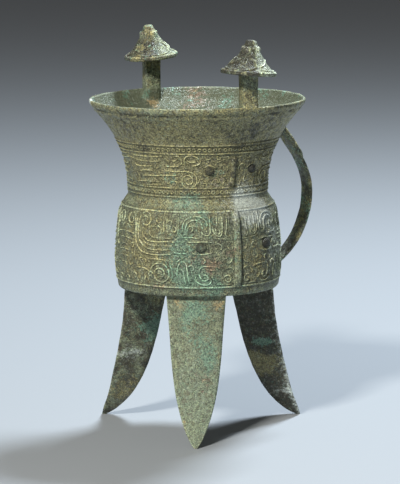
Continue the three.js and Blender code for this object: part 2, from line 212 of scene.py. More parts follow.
def body():
    """The cup, a little uneven as a casting is, most of all along the lip"""
    rings = []
    for r, z in body_outline():
        ring = []
        near_lip = max(0.0, min(1.0, (z - FLARE_TOP) / (RIM_HEIGHT - FLARE_TOP)))
        for k in range(BODY_STEPS):
            angle = k / BODY_STEPS * FULL_TURN
            round_it = (math.cos(angle) * 40, math.sin(angle) * 40, z * 0.6)
            wobble = CAST_WOBBLE * (rough(round_it, 16, 1) - 0.6)
            drop = LIP_WOBBLE * near_lip * (rough(round_it, 14, 2) + rough(round_it, 5, 3) * 0.5 - 0.9)
            wide = r + (wobble if r > 20 else 0)
            ring.append((AXIS_X + wide * math.cos(angle), wide * math.sin(angle), z + drop))
        rings.append(ring)
    return skin("jia_casting", rings, bpy.context.scene.collection)


casting = body()
parts = bpy.data.collections.new("parts_of_the_casting")
bpy.context.scene.collection.children.link(parts)

# The legs: three solid curved blades of triangular section, cast with the body. The broad face looks
# outward and folds along a soft middle edge near the tip, and a ridge looks inward.
LEG_COUNT = 3
LEG_SUNK = 1.6
FOOT_RADIUS = 92.1
LEG_TOP_RADIUS = 54.3
LEG_WIDTH = 46.6
LEG_DEPTH = 26.3
LEG_CROWN = 4.6
LEG_TIP_CROWN = 1.3
LEG_RINGS = 66
LEG_PITS = 0.28
# Shares of the leg's height, of its splay, of its depth and of its width
LEG_STATIONS = (
    (0, 1, 0.11, 0.039), (0.055, 0.886, 0.365, 0.232), (0.172, 0.669, 0.612, 0.476),
    (0.344, 0.447, 0.779, 0.691), (0.55, 0.246, 0.856, 0.824), (0.757, 0.103, 0.894, 0.901), (1, 0, 1, 1),
)


def smooth_path(points, share):
    """A point at a share of the way along a smooth curve through points"""
    spot = min(max(share, 0.0), 1.0) * (len(points) - 1)
    i = min(int(spot), len(points) - 2)
    t = spot - i
    a, b, c, d = (np.array(points[min(max(i + k, 0), len(points) - 1)], float) for k in (-1, 0, 1, 2))
    return (
        b + 0.5 * t * (c - a)
        + t * t * (a - 2.5 * b + 2 * c - 0.5 * d)
        + t ** 3 * (1.5 * (b - c) + 0.5 * (d - a))
    )


def leg(turn):
    rings = []
    for i in range(LEG_RINGS + 1):
        up, splay, deep, wide = smooth_path(LEG_STATIONS, i / LEG_RINGS)
        face = LEG_TOP_RADIUS + (FOOT_RADIUS - LEG_TOP_RADIUS) * splay
        depth = LEG_DEPTH * deep
        half = LEG_WIDTH / 2 * wide
        crown = (LEG_TIP_CROWN + (LEG_CROWN - LEG_TIP_CROWN) * up) * min(1.0, 6 * half / LEG_WIDTH)
        z = up * (BELLY_BOTTOM + LEG_SUNK)
        fold = 1 - min(1.0, max(0.0, up / 0.75))
        ring = []
        for share in (-1, -0.9, -0.72, -0.5, -0.3, -0.14, 0, 0.14, 0.3, 0.5, 0.72, 0.9):
            bulge = (1 - abs(share)) * (0.55 + 0.45 * fold) + (1 - share ** 2) * (0.45 - 0.45 * fold)
            ring.append([face + crown * bulge, share * half])
        ring.append([face - 0.02 * depth, half])
        for share in (0.94, 0.7, 0.4, 0.12):
            ring.append([face - depth * (1 - share) ** 0.94, half * share * (1 + 0.16 * (1 - share))])
        ring.append([face - depth, 0])
        for share in (0.12, 0.4, 0.7, 0.94):
            ring.append([face - depth * (1 - share) ** 0.94, -half * share * (1 + 0.16 * (1 - share))])
        placed = []
        for x, y in ring:
            pit = min(1.0, half / 8) * LEG_PITS * rough((x, y + turn * 40, z), 7, 4)
            pit += min(1.0, half / 8) * LEG_PITS * 0.6 * rough((x, y + turn * 40, z), 2.6, 5)
            x = x + pit - LEG_PITS * 0.4
            px = x * math.cos(turn) - y * math.sin(turn)
            py = x * math.sin(turn) + y * math.cos(turn)
            placed.append((AXIS_X + px, py, z))
        rings.append(placed)
    return skin("leg", rings, parts)


for leg_number in range(LEG_COUNT):
    leg(leg_number * FULL_TURN / LEG_COUNT)

# The handle: a cast strap that bows out from under the lip down to the belly, with a thicker plain head
# at its top and rounded long edges.
HANDLE_WIDTH = 15.0
HANDLE_THICKNESS = 2.8
HANDLE_HEAD_THICKNESS = 4.8
HANDLE_HEAD_SHARE = 0.24
HANDLE_HEAD_FROM = 241.0
HANDLE_FOOT_AT = 122.5
HANDLE_RINGS = 90
HANDLE_EDGE = 0.9
HANDLE_WEAR = 0.16
HANDLE_REACH = frame_high.x / MM - AXIS_X
# Shares of the way down from head to foot, and of the way out to the handle's reach
HANDLE_BOW = (
    (0, 0), (0.122, 0.33), (0.27, 0.732), (0.405, 0.954), (0.515, 1),
    (0.641, 0.94), (0.793, 0.725), (0.911, 0.396), (1, 0),
)


def handle_middle(share):
    """The middle of the strap in the plane of the handle, as (radius, height)"""
    reach = HANDLE_REACH - HANDLE_THICKNESS / 2
    places = []
    for down, out in HANDLE_BOW:
        seat = body_radius(HANDLE_HEAD_FROM) - WALL if down < 0.5 else BELLY_RADIUS - WALL
        height = HANDLE_HEAD_FROM + (HANDLE_FOOT_AT - HANDLE_HEAD_FROM) * down
        places.append((seat + (reach - seat) * out, height))
    return smooth_path(places, share)


def handle():
    rings = []
    for i in range(HANDLE_RINGS + 1):
        share = i / HANDLE_RINGS
        at = handle_middle(share)
        forward = handle_middle(share + 0.004) - handle_middle(share - 0.004)
        forward /= np.linalg.norm(forward)
        out = np.array([-forward[1], forward[0]])
        head = min(1.0, max(0.0, (HANDLE_HEAD_SHARE + 0.01 - share) / 0.02))
        brow = math.exp(-((share - HANDLE_HEAD_SHARE * 0.62) / 0.03) ** 2) * 0.5
        thick = HANDLE_THICKNESS / 2 + head * (HANDLE_HEAD_THICKNESS - HANDLE_THICKNESS - 0.5 + brow)
        half = HANDLE_WIDTH / 2
        section = (
            (thick * 0.55, -half), (thick, -half + HANDLE_EDGE), (thick + 0.1 * head, -half * 0.5),
            (thick + head * 0.35, 0), (thick + 0.1 * head, half * 0.5), (thick, half - HANDLE_EDGE),
            (thick * 0.55, half), (-HANDLE_THICKNESS * 0.3, half),
            (-HANDLE_THICKNESS / 2, half - HANDLE_EDGE), (-HANDLE_THICKNESS * 0.45, 0),
            (-HANDLE_THICKNESS / 2, -half + HANDLE_EDGE), (-HANDLE_THICKNESS * 0.3, -half),
        )
        ring = []
        for away, across in section:
            wear = HANDLE_WEAR * (rough((share * 160, across, away), 6, 6) - 0.7)
            off = away + (wear if away > 0 else -wear)
            narrow = 1 - 0.012 * (1 + rough((share * 160, 0, 0), 9, 7))
            ring.append((AXIS_X + at[0] + out[0] * off, across * narrow, at[1] + out[1] * off))
        rings.append(ring)
    return skin("handle", rings, parts)


handle()

# The posts: two cast bars that stand on the lip over the masks, flush with its outside, each under a
# hollow-sided conical cap with a raised ring, curling lines and a stepped knob.
POST_INSET = 4.9
POST_WIDTH = 13.4
POST_DEPTH = 8.0
POST_SHIFT = 1.4
POST_ROOT = 13.0
POST_HEIGHT = 24.4
CAP_RADIUS = 21.8
CAP_BRIM_EDGE = 2.4
CAP_RISE = 27.0
CAP_KNOB_RADIUS = 6.6
CAP_KNOB_HEIGHT = 7.6
CAP_TILT = math.radians(5.4)
CAP_HOLLOW = 1.45
CAP_STEPS = 72
CAP_BRIM_HEIGHT = RIM_HEIGHT + POST_HEIGHT
POST_RADIUS = RIM_RADIUS - POST_INSET
CAP_THREAD = 0.62
CAP_CONE_END = 0.82
CAP_KNOB_FACETS = 0.08
CAP_KNOB_CHIPS = 0.9
POST_RINGS = 16
# Section of the post, as shares of half its width and of half its depth
POST_SECTION = (
    (-1, -0.86), (-0.93, -1), (-0.45, -1.02), (0, -1.03), (0.45, -1.02), (0.93, -1), (1, -0.86), (1.02, 0),
    (1, 0.86), (0.93, 1), (0.45, 1.02), (0, 1.03), (-0.45, 1.02), (-0.93, 1), (-1, 0.86), (-1.02, 0),
)
# Outline of the knob as (radius, depth below its top): a waist, a swelling and a small block on it
CAP_KNOB = (
    (8.8, 11.2), (8.0, 9.6), (7.5, 8.0), (7.3, 6.4), (6.7, 5.3), (5.6, 4.6), (4.9, 3.7), (4.6, 2.2),
    (4.3, 1.1), (3.1, 0.5), (1.6, 0.35), (0.4, 0.3),
)


def post(side):
    rings = []
    foot = RIM_HEIGHT - POST_ROOT
    for z in np.linspace(foot, CAP_BRIM_HEIGHT + CAP_BRIM_EDGE, POST_RINGS):
        ring = []
        widen = 1 + 0.05 * ((z - RIM_HEIGHT - 10) / 14) ** 2 - 0.04
        for share_x, share_y in POST_SECTION:
            x = POST_SHIFT + share_x * POST_WIDTH / 2 * widen
            y = POST_RADIUS + share_y * POST_DEPTH / 2 * 0.97
            wear = 0.14 * rough((x, y + side * 50, z), 5, 8)
            limit = body_radius(min(z, RIM_HEIGHT)) - 0.4
            r = math.hypot(x, y)
            if r > limit:
                y = math.sqrt(limit ** 2 - x ** 2)
            ring.append((AXIS_X + x + wear, side * (y - abs(wear)), z))
        rings.append(ring)
    return skin("post", rings, parts)


def cap_cone(share):
    """Radius and height of the cap's side, from the brim at 0 to the foot of its knob at 1"""
    r = CAP_RADIUS + (CAP_KNOB_RADIUS - CAP_RADIUS) * share
    return r, CAP_BRIM_EDGE + (CAP_RISE - CAP_KNOB_HEIGHT - CAP_BRIM_EDGE) * share ** CAP_HOLLOW


def place_on_cap(side, r, angle, z):
    """A point of a cap, tilted as it stands and set on its post"""
    point = Vector((r * math.cos(angle), r * math.sin(angle), z))
    point.rotate(Euler((0, -side * CAP_TILT, 0)))
    return Vector((AXIS_X + POST_SHIFT, side * POST_RADIUS, CAP_BRIM_HEIGHT)) + point


def cap(side):
    profile = [(1, 0), (6, 0), (12, 0), (17, 0), (CAP_RADIUS - 0.8, 0.05), (CAP_RADIUS - 0.1, 0.5)]
    profile += [(CAP_RADIUS - 0.1, CAP_BRIM_EDGE - 0.7)]
    profile += [cap_cone(share) for share in np.linspace(0.02, CAP_CONE_END, 20)]
    profile += [(r, CAP_RISE - below) for r, below in CAP_KNOB]
    rings = []
    for r, z in profile:
        ring = []
        for k in range(CAP_STEPS):
            angle = k / CAP_STEPS * FULL_TURN
            place = (r * math.cos(angle), r * math.sin(angle) + side * 60, z)
            chip = 0.35 * (rough(place, 5, 9) - 0.6) * min(1.0, r / 5) + 0.2 * (rough(place, 2.2, 10) - 0.5)
            if z > CAP_RISE - 12:
                chip += CAP_KNOB_CHIPS * rough(place, 4, 18) * min(1.0, r / 4)
            on_knob = z > CAP_RISE - 9 and r > 1
            knob = 1 - CAP_KNOB_FACETS * math.cos(angle * 3 + side) if on_knob else 1
            height = z + chip * 0.3 if z > 1 else z
            ring.append(place_on_cap(side, (r + chip * 0.6) * knob, angle, height))
        rings.append(ring)
    return skin("cap", rings, parts)


def thread(count, place, width, proud, ends=True):
    """A raised line with a rounded back, its points given by place(i, across, proud). It thins toward
    both ends, and its width and height waver as worn relief does."""
    rings = []
    for i in range(count):
        near_end = min(i, count - 1 - i) if ends else count
        taper = min(1.0, 0.34 + 0.3 * near_end)
        seat = place(i, 0.0, 0.0)
        worn = 1 + 0.28 * rough(seat, 9, 11) + 0.12 * rough(seat, 3, 12)
        wide = width / 2 * taper * (0.96 + 0.12 * rough(seat, 6, 13))
        high = proud * taper * worn
        rings.append([
            place(i, -wide * 1.15, -0.55), place(i, -wide * 0.72, high * 0.7), place(i, 0, high),
            place(i, wide * 0.72, high * 0.7), place(i, wide * 1.15, -0.55),
        ])
    return rings


def closed_ring(name, rings, home):
    """A closed loop of rings, such as a circlet or a border line"""
    count = len(rings[0])
    total = len(rings)
    points = [Vector(p) * MM for ring in rings for p in ring]
    faces = []
    for i in range(total):
        for k in range(count):
            a = i * count + k
            b = i * count + (k + 1) % count
            step = count if i < total - 1 else -i * count
            faces.append((a, b, b + step, a + step))
    return closed_mesh(name, points, faces, home)


# A leaf-shaped whorl on the cap as (share up the cap, degrees round it)
CAP_WHORL = (
    (0.3, -60), (0.23, -42), (0.2, -20), (0.2, 4), (0.24, 26), (0.34, 42), (0.48, 49), (0.62, 47), (0.72, 36),
)
CAP_INNER_CURL = ((0.4, -62), (0.48, -44), (0.6, -26), (0.7, -4))
CAP_SLANT = 22
CAP_WHORLS = 3
CAP_WHORL_TURN = (-26, 20)
# Rings on the cap: share of the way up, width and height
CAP_RINGS = ((0.1, 1.2, CAP_THREAD), (0.04, 0.8, CAP_THREAD * 0.55))
CAP_RING_STEPS = 84


def cap_lines(side):
    for share, wide, high in CAP_RINGS:
        r, z = cap_cone(share)

        def around(i, across, proud, r=r, z=z):
            angle = i / CAP_RING_STEPS * FULL_TURN
            out = r + across * 0.8 + proud * 0.6
            return place_on_cap(side, out, angle, z - across * 0.55 + proud * 0.8)

        closed_ring("cap_ring", thread(CAP_RING_STEPS, around, wide, high, ends=False), parts)
    curls = [(number, curl) for number in range(CAP_WHORLS) for curl in (CAP_WHORL, CAP_INNER_CURL)]
    for whorl, curl in curls:
        start = whorl * 360 / CAP_WHORLS + CAP_WHORL_TURN[side > 0]
        steps = 4 * len(curl)

        def along(i, across, proud, start=start, steps=steps, curl=curl):
            spot = i / (steps - 1)
            here = smooth_path(curl, spot)
            ahead = smooth_path(curl, spot + 0.02) - smooth_path(curl, spot - 0.02)
            r, z = cap_cone(here[0])
            climb = np.array([ahead[0] * CAP_SLANT, math.radians(ahead[1]) * r])
            climb /= max(1e-6, np.linalg.norm(climb))
            share = here[0] + climb[1] * across / CAP_SLANT
            angle = math.radians(start + here[1]) - climb[0] * across / r
            r, z = cap_cone(min(1.0, max(0.0, share)))
            return place_on_cap(side, r + proud * 0.6, angle, z + proud * 0.8)

        skin("cap_whorl", thread(steps, along, 1.0, CAP_THREAD), parts)


for post_side in (-1, 1):
    post(post_side)
    cap(post_side)
    cap_lines(post_side)

# The relief: masks in raised lines on the belly and the neck, one over each post and mirrored about a
# plain upright flange, with borders of lines and circlets. All of it was cut in the mould and cast.
# Panels from height to height, and width and height of the threads on them
BELLY_PANEL = (120.9, 178.6)
NECK_PANEL = (197.7, 220.6)
BELLY_THREAD = (1.15, 0.74)
WORN_THREAD = (0.95, 0.58)
NECK_THREAD = (1.0, 0.6)
FILLING_THREAD = (0.85, 0.44)
LINE_STEP = 1.3
FILLING_STEP = 1.6
# Height, width and height above the wall of each border line
BORDER_LINES = (
    (120.9, 1.3, 0.6), (179.2, 1.5, 0.6), (190.1, 1.1, 0.5), (197.0, 1.1, 0.5), (224.2, 1.1, 0.5),
    (230.9, 1.1, 0.5),
)
CIRCLET_ROWS = (193.55, 227.55)
CIRCLETS_ROUND = 97
CIRCLET_RADIUS = 1.25
CIRCLET_THREAD = (0.85, 0.42)
CIRCLET_STEPS = 7
BORDER_STEPS = 164
BELLY_FLANGE = (6.8, 2.6)
NECK_FLANGE = (4.6, 2.2)
FLANGE_RINGS = 22
# Across a flange, as shares of half its width and of its height
FLANGE_BACK = ((-0.86, 0.3), (-0.56, 0.84), (-0.3, 1), (0.3, 1), (0.56, 0.84), (0.86, 0.3))
# Radius at which the neck's drawing is rolled on
NECK_UNROLL = 57.0
# An eye's place out from the flange and above the feet, rolling radius, half width, half height and depth
BELLY_EYE = (30, 152.2, BELLY_RADIUS, 4.7, 3.7, 2.6)
NECK_EYE = (18.9, 210.4, NECK_UNROLL, 3.5, 3.1, 2.2)
EYE_STEPS = 20


def spiral(tail, centre, outer, inner, start, turns, hand):
    """A tail of points, then a winding from the outer to the inner radius; hand 1 winds anticlockwise"""
    points = list(tail)
    steps = max(4, round(turns * 14))
    for i in range(steps + 1):
        share = i / steps
        angle = math.radians(start) + hand * share * turns * FULL_TURN
        r = outer + (inner - outer) * share
        points.append((centre[0] + r * math.cos(angle), centre[1] + r * math.sin(angle)))
    return points


def even_path(points, step):
    """Points an even step apart along a smooth curve through the given ones"""
    fine = [smooth_path(points, i / (len(points) * 12)) for i in range(len(points) * 12 + 1)]
    lengths = np.concatenate([[0], np.cumsum([np.linalg.norm(b - a) for a, b in zip(fine, fine[1:])])])
    count = max(4, round(lengths[-1] / step) + 1)
    wanted = np.linspace(0, lengths[-1], count)
    fine = np.array(fine)
    return np.column_stack([np.interp(wanted, lengths, fine[:, axis]) for axis in (0, 1)])


def raised(points, mask_angle, side, unroll, size, step=LINE_STEP):
    """One stroke of a mask, x out from its middle line and z above the feet"""
    path = even_path(points, step)

    def place(i, across, proud):
        ahead = path[min(i + 1, len(path) - 1)] - path[max(i - 1, 0)]
        ahead = ahead / max(1e-6, np.linalg.norm(ahead))
        x = path[i][0] - ahead[1] * across
        z = path[i][1] + ahead[0] * across
        return on_body(mask_angle + side * x / unroll, z, proud)

    skin("line", thread(len(path), place, *size), parts)


BELLY_LINES = (
    ((41.2, 156.3), (35.2, 156.5), (27, 156.6), (20.8, 156.1)),
    ((41.2, 156.3), (39.7, 153.7), (37.1, 151.4)),
    ((37.1, 149.2), (35.2, 147.4), (30.6, 146.9), (25.7, 147.3), (20.4, 148.3)),
    ((52.3, 149.9), (50, 148), (45.8, 147.5), (41.6, 147.7), (40.5, 146)),
    ((79, 160.8), (77.3, 158.6), (73.9, 156.3), (64.8, 155.8), (58, 156.5), (49.6, 156.2)),
    spiral(((54.9, 150.3), (66.3, 149.5), (73.9, 150.3), (78.4, 152), (81.1, 154.4), (84.3, 158.2),
     (85, 165)), (77.8, 172.1), 6.7, 1.6, 0, 1.6, 1),
    ((52.3, 147.3), (54.2, 146.8), (64.8, 145.8), (75.4, 146.3), (80.7, 148), (83.7, 150.5),
     (86.2, 153.7), (87.4, 159), (87.1, 167.2), (87.4, 174)),
    spiral(((88.3, 161.2), (88.4, 166.5)), (94.7, 171.4), 5.6, 1.6, 180, 1.3, -1),
    ((72.7, 142.2), (66.3, 142.5), (61.4, 142.3), (57.6, 141)),
    spiral(((86, 134.8), (76.9, 134.6), (72, 133)), (62.5, 131.1), 9, 2, 36, 1.75, 1),
    ((48.6, 128), (48.4, 135), (46.6, 139.8), (44, 141.4), (41.6, 139.5), (40.6, 134), (39.8, 128),
     (38.8, 123)),
    ((46.6, 135.2), (43.9, 134.1), (42.8, 128), (41.9, 123.2)),
    spiral((), (37.6, 136), 2.8, 1.6, 0, 0.8, 1),
    spiral((), (28.7, 141.6), 2.4, 1.7, 40, 0.75, 1),
    ((20, 145.4), (18.9, 143.1), (17, 142), (15.8, 143.9)),
    ((12.4, 143.9), (10.5, 143.1), (8.6, 144.6)),
    ((13.2, 135.2), (18.5, 137), (24.6, 137.5), (28.7, 137.5), (31, 135.2), (31.4, 131.1),
     (28.4, 126.4), (24.6, 127.3), (25, 130.2), (27.6, 131.1), (28, 129.2)),
    ((35.6, 128.1), (31.4, 124.3), (26.8, 123.1), (23, 124.1), (21.9, 126.9)),
    spiral((), (8.6, 127.2), 3.4, 1.8, 20, 1, 1),
    ((9.8, 135.2), (7.9, 136.4), (4.8, 135.2), (3.7, 133.3)),
    ((44.1, 163.9), (44.3, 169.5), (41.3, 174), (35.2, 175.9), (29.1, 175.2), (25.3, 171.8),
     (24.9, 168), (26.8, 165.7)),
    ((42, 165), (41.6, 169.1), (38.6, 172.5), (33.7, 173.3), (29.9, 171), (28.7, 167.2),
     (29.1, 163.9), (26.8, 161.6), (23.4, 162), (22.4, 165), (22.7, 176.3)),
    ((40.5, 163.5), (40.1, 166.9), (38.6, 168.7), (36.3, 168), (36.7, 165), (39, 163.1)),
    ((20, 168.7), (20.2, 165.7), (18.5, 162.3), (15.8, 160.5), (13.2, 162), (12.6, 167.2),
     (12.4, 176.3)),
    ((17, 176.3), (17.1, 169.5), (17.9, 165.7), (17.4, 163.1), (15.5, 162.3), (14.3, 164.2),
     (15.8, 165.7)),
    ((8.6, 176.3), (9, 166.5), (10.1, 162), (8.2, 159.7), (6.4, 160.1)),
    ((60.4, 174), (60.1, 162)),
    ((67.8, 167.2), (64.8, 168), (62.1, 165), (63.3, 162), (65.9, 162.3)),
    spiral((), (54.9, 171), 2, 1.4, 0, 0.8, 1),
    spiral((), (51.9, 165.7), 2.5, 1.5, 90, 0.8, 1),
    spiral((), (77.3, 140.1), 2, 1.4, 0, 0.8, 1),
    spiral((), (71.6, 130.3), 2.4, 1.5, 180, 0.8, -1),
    spiral((), (88, 128), 2.6, 1.5, 0, 0.9, 1),
    spiral((), (78.4, 127.3), 2.2, 1.4, 90, 0.8, 1),
)
BELLY_FILLING = (
    ((74, 172), (73.8, 165), (72.5, 160.8), (68, 159), (60, 159), (52, 158.7)),
    ((79.5, 157), (75, 153.6), (66, 152.7), (56, 153.2), (50, 153.1)),
    ((48.6, 176), (48, 168), (48.4, 162.5), (50.6, 160.6)),
    ((57.4, 176), (57.8, 170), (56.8, 163), (54.4, 161.2)),
    ((46.4, 159.4), (39, 160.4), (33, 159.4), (29.5, 159.8)),
    ((21, 159.8), (14, 158.6), (8, 158.2), (4, 157.4)),
    ((5, 155.4), (8, 154), (8.4, 151.4), (6, 149.8), (4, 151)),
    ((19.6, 153.8), (16, 155), (13.2, 152.8), (14.6, 149.8), (17, 150.6)),
    ((55.2, 140.4), (52.8, 134), (53.2, 127), (56.6, 122.8)), ((35.4, 133), (34, 129.4), (36.2, 126.6)),
    ((5, 146.2), (5.4, 141.6), (8.4, 139.4), (11.4, 140.8)),
    ((24.4, 142.6), (21.4, 140.6), (17.6, 140.2)),
    ((18.4, 133), (21.4, 130.4), (20.4, 127.2), (17, 126.6)),
    ((4, 123.6), (9, 122.7), (14.6, 123.4), (18.8, 122.9)), ((60, 122.8), (67, 123.4), (73.4, 122.9)),
    ((77, 145), (79, 142.8), (83.4, 142.6), (86.4, 145)), ((89, 148.4), (87.4, 145), (88.8, 141.6)),
    ((80.6, 164), (80.2, 160.8), (77.6, 157.4)), ((91.6, 165), (95.6, 166.8), (98.6, 165.6)),
    ((66.6, 176), (66.8, 171.6), (63.6, 170.4), (61.4, 172.4)), ((68, 139.8), (64, 140.9), (60, 140.2)),
    spiral((), (83.4, 138), 2.2, 1.3, 200, 0.85, 1), spiral((), (92.4, 137.2), 2.5, 1.3, 90, 0.9, -1),
    spiral((), (75, 126.2), 2.1, 1.3, 300, 0.8, -1), spiral((), (92.6, 145.2), 2, 1.2, 30, 0.8, 1),
    spiral((), (70.8, 168.6), 1.9, 1.2, 120, 0.8, 1), spiral((), (96.4, 131), 2.3, 1.3, 220, 0.9, 1),
    spiral((), (34, 165.4), 1.5, 0.9, 0, 0.8, 1), spiral((), (82.6, 123.6), 1.8, 1.1, 60, 0.8, 1),
    ((14.4, 133.8), (13.7, 131.4), (14.5, 129.2)), ((11.2, 149.6), (11.6, 147.6), (10.6, 146.2)),
    ((25.6, 155.2), (24.5, 153), (24.9, 150.4)), ((35.6, 154.6), (35, 152), (36.8, 149.9)),
    spiral((), (26.4, 165.2), 1.7, 0.9, 90, 0.8, 1), ((20.4, 170.4), (22.4, 171.6)),
    ((8.4, 164.6), (7, 167.4)), ((41.2, 160.9), (38.6, 161.7), (36.2, 160.8)),
    ((47.4, 163.8), (45.2, 161.4), (43.2, 158.8)), ((45, 151.6), (42.8, 150.4), (42.6, 148.6)),
    ((49.6, 136.4), (48.9, 140.2), (46.4, 143), (43, 143.7)), ((39, 128.8), (38.1, 126.2), (36.6, 127.6)),
    ((25.2, 134.6), (21, 134.6), (16.4, 133.6)), ((65.6, 170.4), (68, 169), (69.8, 166.6)),
    ((71.6, 168.8), (72.8, 166.6), (75.8, 165.8)), ((77.6, 163.6), (76.1, 161.6), (76.8, 159.8)),
    ((65.4, 166.4), (62.8, 165.7), (61.7, 163.6)), ((51.2, 162.2), (49.2, 160.2)),
    ((84.8, 144.2), (82.4, 142), (83.4, 139.8)), ((81.8, 146.2), (79.4, 144), (77, 143.4)),
    ((90, 132.6), (88.3, 130.8), (86.4, 131.7), (84.8, 130.5)),
    ((80.4, 128.4), (78.8, 125.8), (76, 125.3)), ((69.4, 125.2), (67.2, 123.5), (68.2, 121.9)),
    ((65.6, 126.4), (62.8, 124.9), (59.8, 125.4)), ((49.9, 133.2), (49.1, 130.2)),
    ((49.6, 128.6), (48, 125.8)), ((95, 128), (97.6, 127), (98.6, 129)),
    ((88.6, 156.6), (90.4, 157.8), (93.4, 158)), ((6, 168.6), (6.8, 171.6), (5.6, 174)),
    ((32.4, 144.2), (34.6, 142.2), (33.6, 139.6)), ((59, 148.6), (66, 147.7), (73.6, 148.4)),
)
# A creature between the two masks, which has no room on the side of the handle
FILLER_LINES = (
    ((102.4, 166.7), (99, 166.6), (95.6, 163.8)),
    ((102.4, 151.6), (99.4, 151.4), (97.6, 149.4)),
    ((102.4, 137.4), (99.8, 137.2), (98, 134.6)),
    ((102.4, 161.5), (93.6, 160.8), (89, 159.9)),
    ((102.4, 156.3), (98.2, 156.5), (94.4, 155.4)),
    spiral((), (91, 151.4), 1.9, 1.5, 0, 1, 1),
    ((102.4, 147.3), (98.5, 147.2), (95.1, 146.9)),
    ((102.4, 142.4), (99, 142.4), (95.9, 142.2)),
    spiral((), (97, 124.6), 3, 1.5, 0, 1, 1),
)
NECK_LINES = (
    ((53.8, 214.3), (45.2, 214.1), (41.2, 215.6), (39.9, 217.6), (40.6, 221.2), (42.9, 222.9), (45.2, 222.2)),
    ((43.9, 220.9), (43.6, 219.6), (46.5, 218.6), (47.9, 219.2)),
    ((36.6, 215.3), (37.9, 217.6), (37.6, 220.9), (35.3, 222.9), (31.3, 223), (26.5, 220), (26, 217.6),
     (29.3, 215.3), (34.6, 214.9)),
    ((35.9, 219.6), (33.3, 217.9), (29.3, 218.3), (29, 219.6)),
    spiral(((57.1, 210.4), (46.5, 210.5), (36.6, 210.6)), (35.4, 202.9), 7.6, 1.5, 80, 1.9, 1),
    ((79, 205.3), (69.7, 206), (61.1, 206.3), (55.8, 207), (43.9, 207)),
    ((84.6, 214.3), (81, 213.1), (75.7, 212.9), (64.4, 213.9)),
    ((80.3, 208.6), (73, 210), (64.4, 210.2)),
    ((52.5, 199.7), (50.5, 201.4), (47.2, 202.7), (44.6, 201.7), (45.6, 199.4)),
    ((47.9, 204.3), (46, 204.2), (43.9, 204.3)),
)
NECK_FILLING = (
    ((91, 219.6), (84, 218.4), (74, 217.4), (62, 217.6), (56, 218.4)),
    ((88, 221.8), (78, 221.2), (66, 221.4), (54, 221.8)),
    ((88, 200.4), (78, 200.9), (68, 201.3), (58, 201.4)),
    ((86, 196.2), (72, 198.6), (62, 198.8), (56, 199.4)),
    ((23.4, 213), (20, 214.9), (16, 214.2), (13.8, 212)), ((24.4, 208), (19.6, 206.3), (14.6, 207.2)),
    ((5.2, 209), (4.6, 212.6), (7, 215.4), (10.2, 214.6), (9.6, 212)),
    ((16.6, 218.2), (13, 217.6), (9, 218.6)), ((27.6, 207.2), (26.4, 204), (28.2, 200.6), (27, 198.6)),
    ((24, 203.6), (21.4, 202.2), (18, 203.8)), ((23.6, 221.8), (21, 219.6), (17.6, 221.4)),
    ((57.8, 213.4), (61, 212.2), (62.6, 209.6)), ((40.6, 198.6), (43, 197.9), (46, 198.4)),
    spiral((), (12.4, 221.4), 2, 1.2, 180, 0.8, 1), spiral((), (12.6, 203), 2.4, 1.3, 60, 0.95, 1),
    spiral((), (22.4, 199.6), 1.9, 1.1, 0, 0.85, 1), spiral((), (6, 200.2), 2, 1.2, 120, 0.85, -1),
    spiral((), (6, 205.8), 1.4, 0.9, 300, 0.8, 1), spiral((), (51, 217.6), 1.7, 1, 0, 0.8, 1),
    spiral((), (15.6, 198.8), 1.3, 0.9, 90, 0.8, 1), spiral((), (5.4, 220.6), 1.6, 1, 0, 0.85, 1),
)


def eye(mask_angle, side, x, z, unroll, across, up, proud):
    """A plain round boss standing in its lids"""
    angle = mask_angle + side * x / unroll
    rings = []
    for share in (0.0, 0.35, 0.6, 0.8, 0.92):
        ring = []
        for k in range(EYE_STEPS):
            turn = k / EYE_STEPS * FULL_TURN
            reach = math.sqrt(1 - share ** 2)
            place = (reach * across * math.cos(turn) / unroll, reach * up * math.sin(turn))
            ring.append(on_body(angle + place[0], z + place[1], proud * share - (0.6 if share == 0 else 0)))
        rings.append(ring)
    skin("eye", rings, parts)


def flange(mask_angle, unroll, low, high, width, proud):
    """The plain upright rib down the middle of a mask, with a rounded back and ends"""
    def place(i, across, proud):
        z = low + (high - low) * i / (FLANGE_RINGS - 1)
        return on_body(mask_angle + across / unroll, z, proud)

    rings = []
    for i in range(FLANGE_RINGS):
        near_end = min(i, FLANGE_RINGS - 1 - i)
        spot = (i * 2.6, mask_angle * 9, low)
        top = proud * min(1.0, 0.4 + 0.28 * near_end) * (1 + 0.08 * rough(spot, 6, 17))
        half = width / 2 * (1 + 0.08 * rough(spot, 8, 14))
        ring = [place(i, -half, -0.6)]
        ring += [place(i, half * share, top * rise) for share, rise in FLANGE_BACK]
        rings.append(ring + [place(i, half, -0.6)])
    skin("flange", rings, parts)


def borders():
    for z, width, proud in BORDER_LINES:
        def place(i, across, out, z=z):
            angle = i / BORDER_STEPS * FULL_TURN
            return on_body(angle, z + across + 0.18 * rough((angle * 40, z, 0), 14, 15), out)

        closed_ring("border", thread(BORDER_STEPS, place, width, proud, ends=False), parts)
    for row in CIRCLET_ROWS:
        for number in range(CIRCLETS_ROUND):
            middle = (number + 0.5) / CIRCLETS_ROUND * FULL_TURN
            radius = CIRCLET_RADIUS * (1 + 0.12 * rough((number * 3.1, row, 0), 2, 16))

            def place(i, across, out, middle=middle, radius=radius, row=row):
                turn = i / CIRCLET_STEPS * FULL_TURN
                r = radius - across
                angle = middle + r * math.cos(turn) / body_radius(row)
                return on_body(angle, row + r * math.sin(turn), out)

            closed_ring("circlet", thread(CIRCLET_STEPS, place, *CIRCLET_THREAD, ends=False), parts)


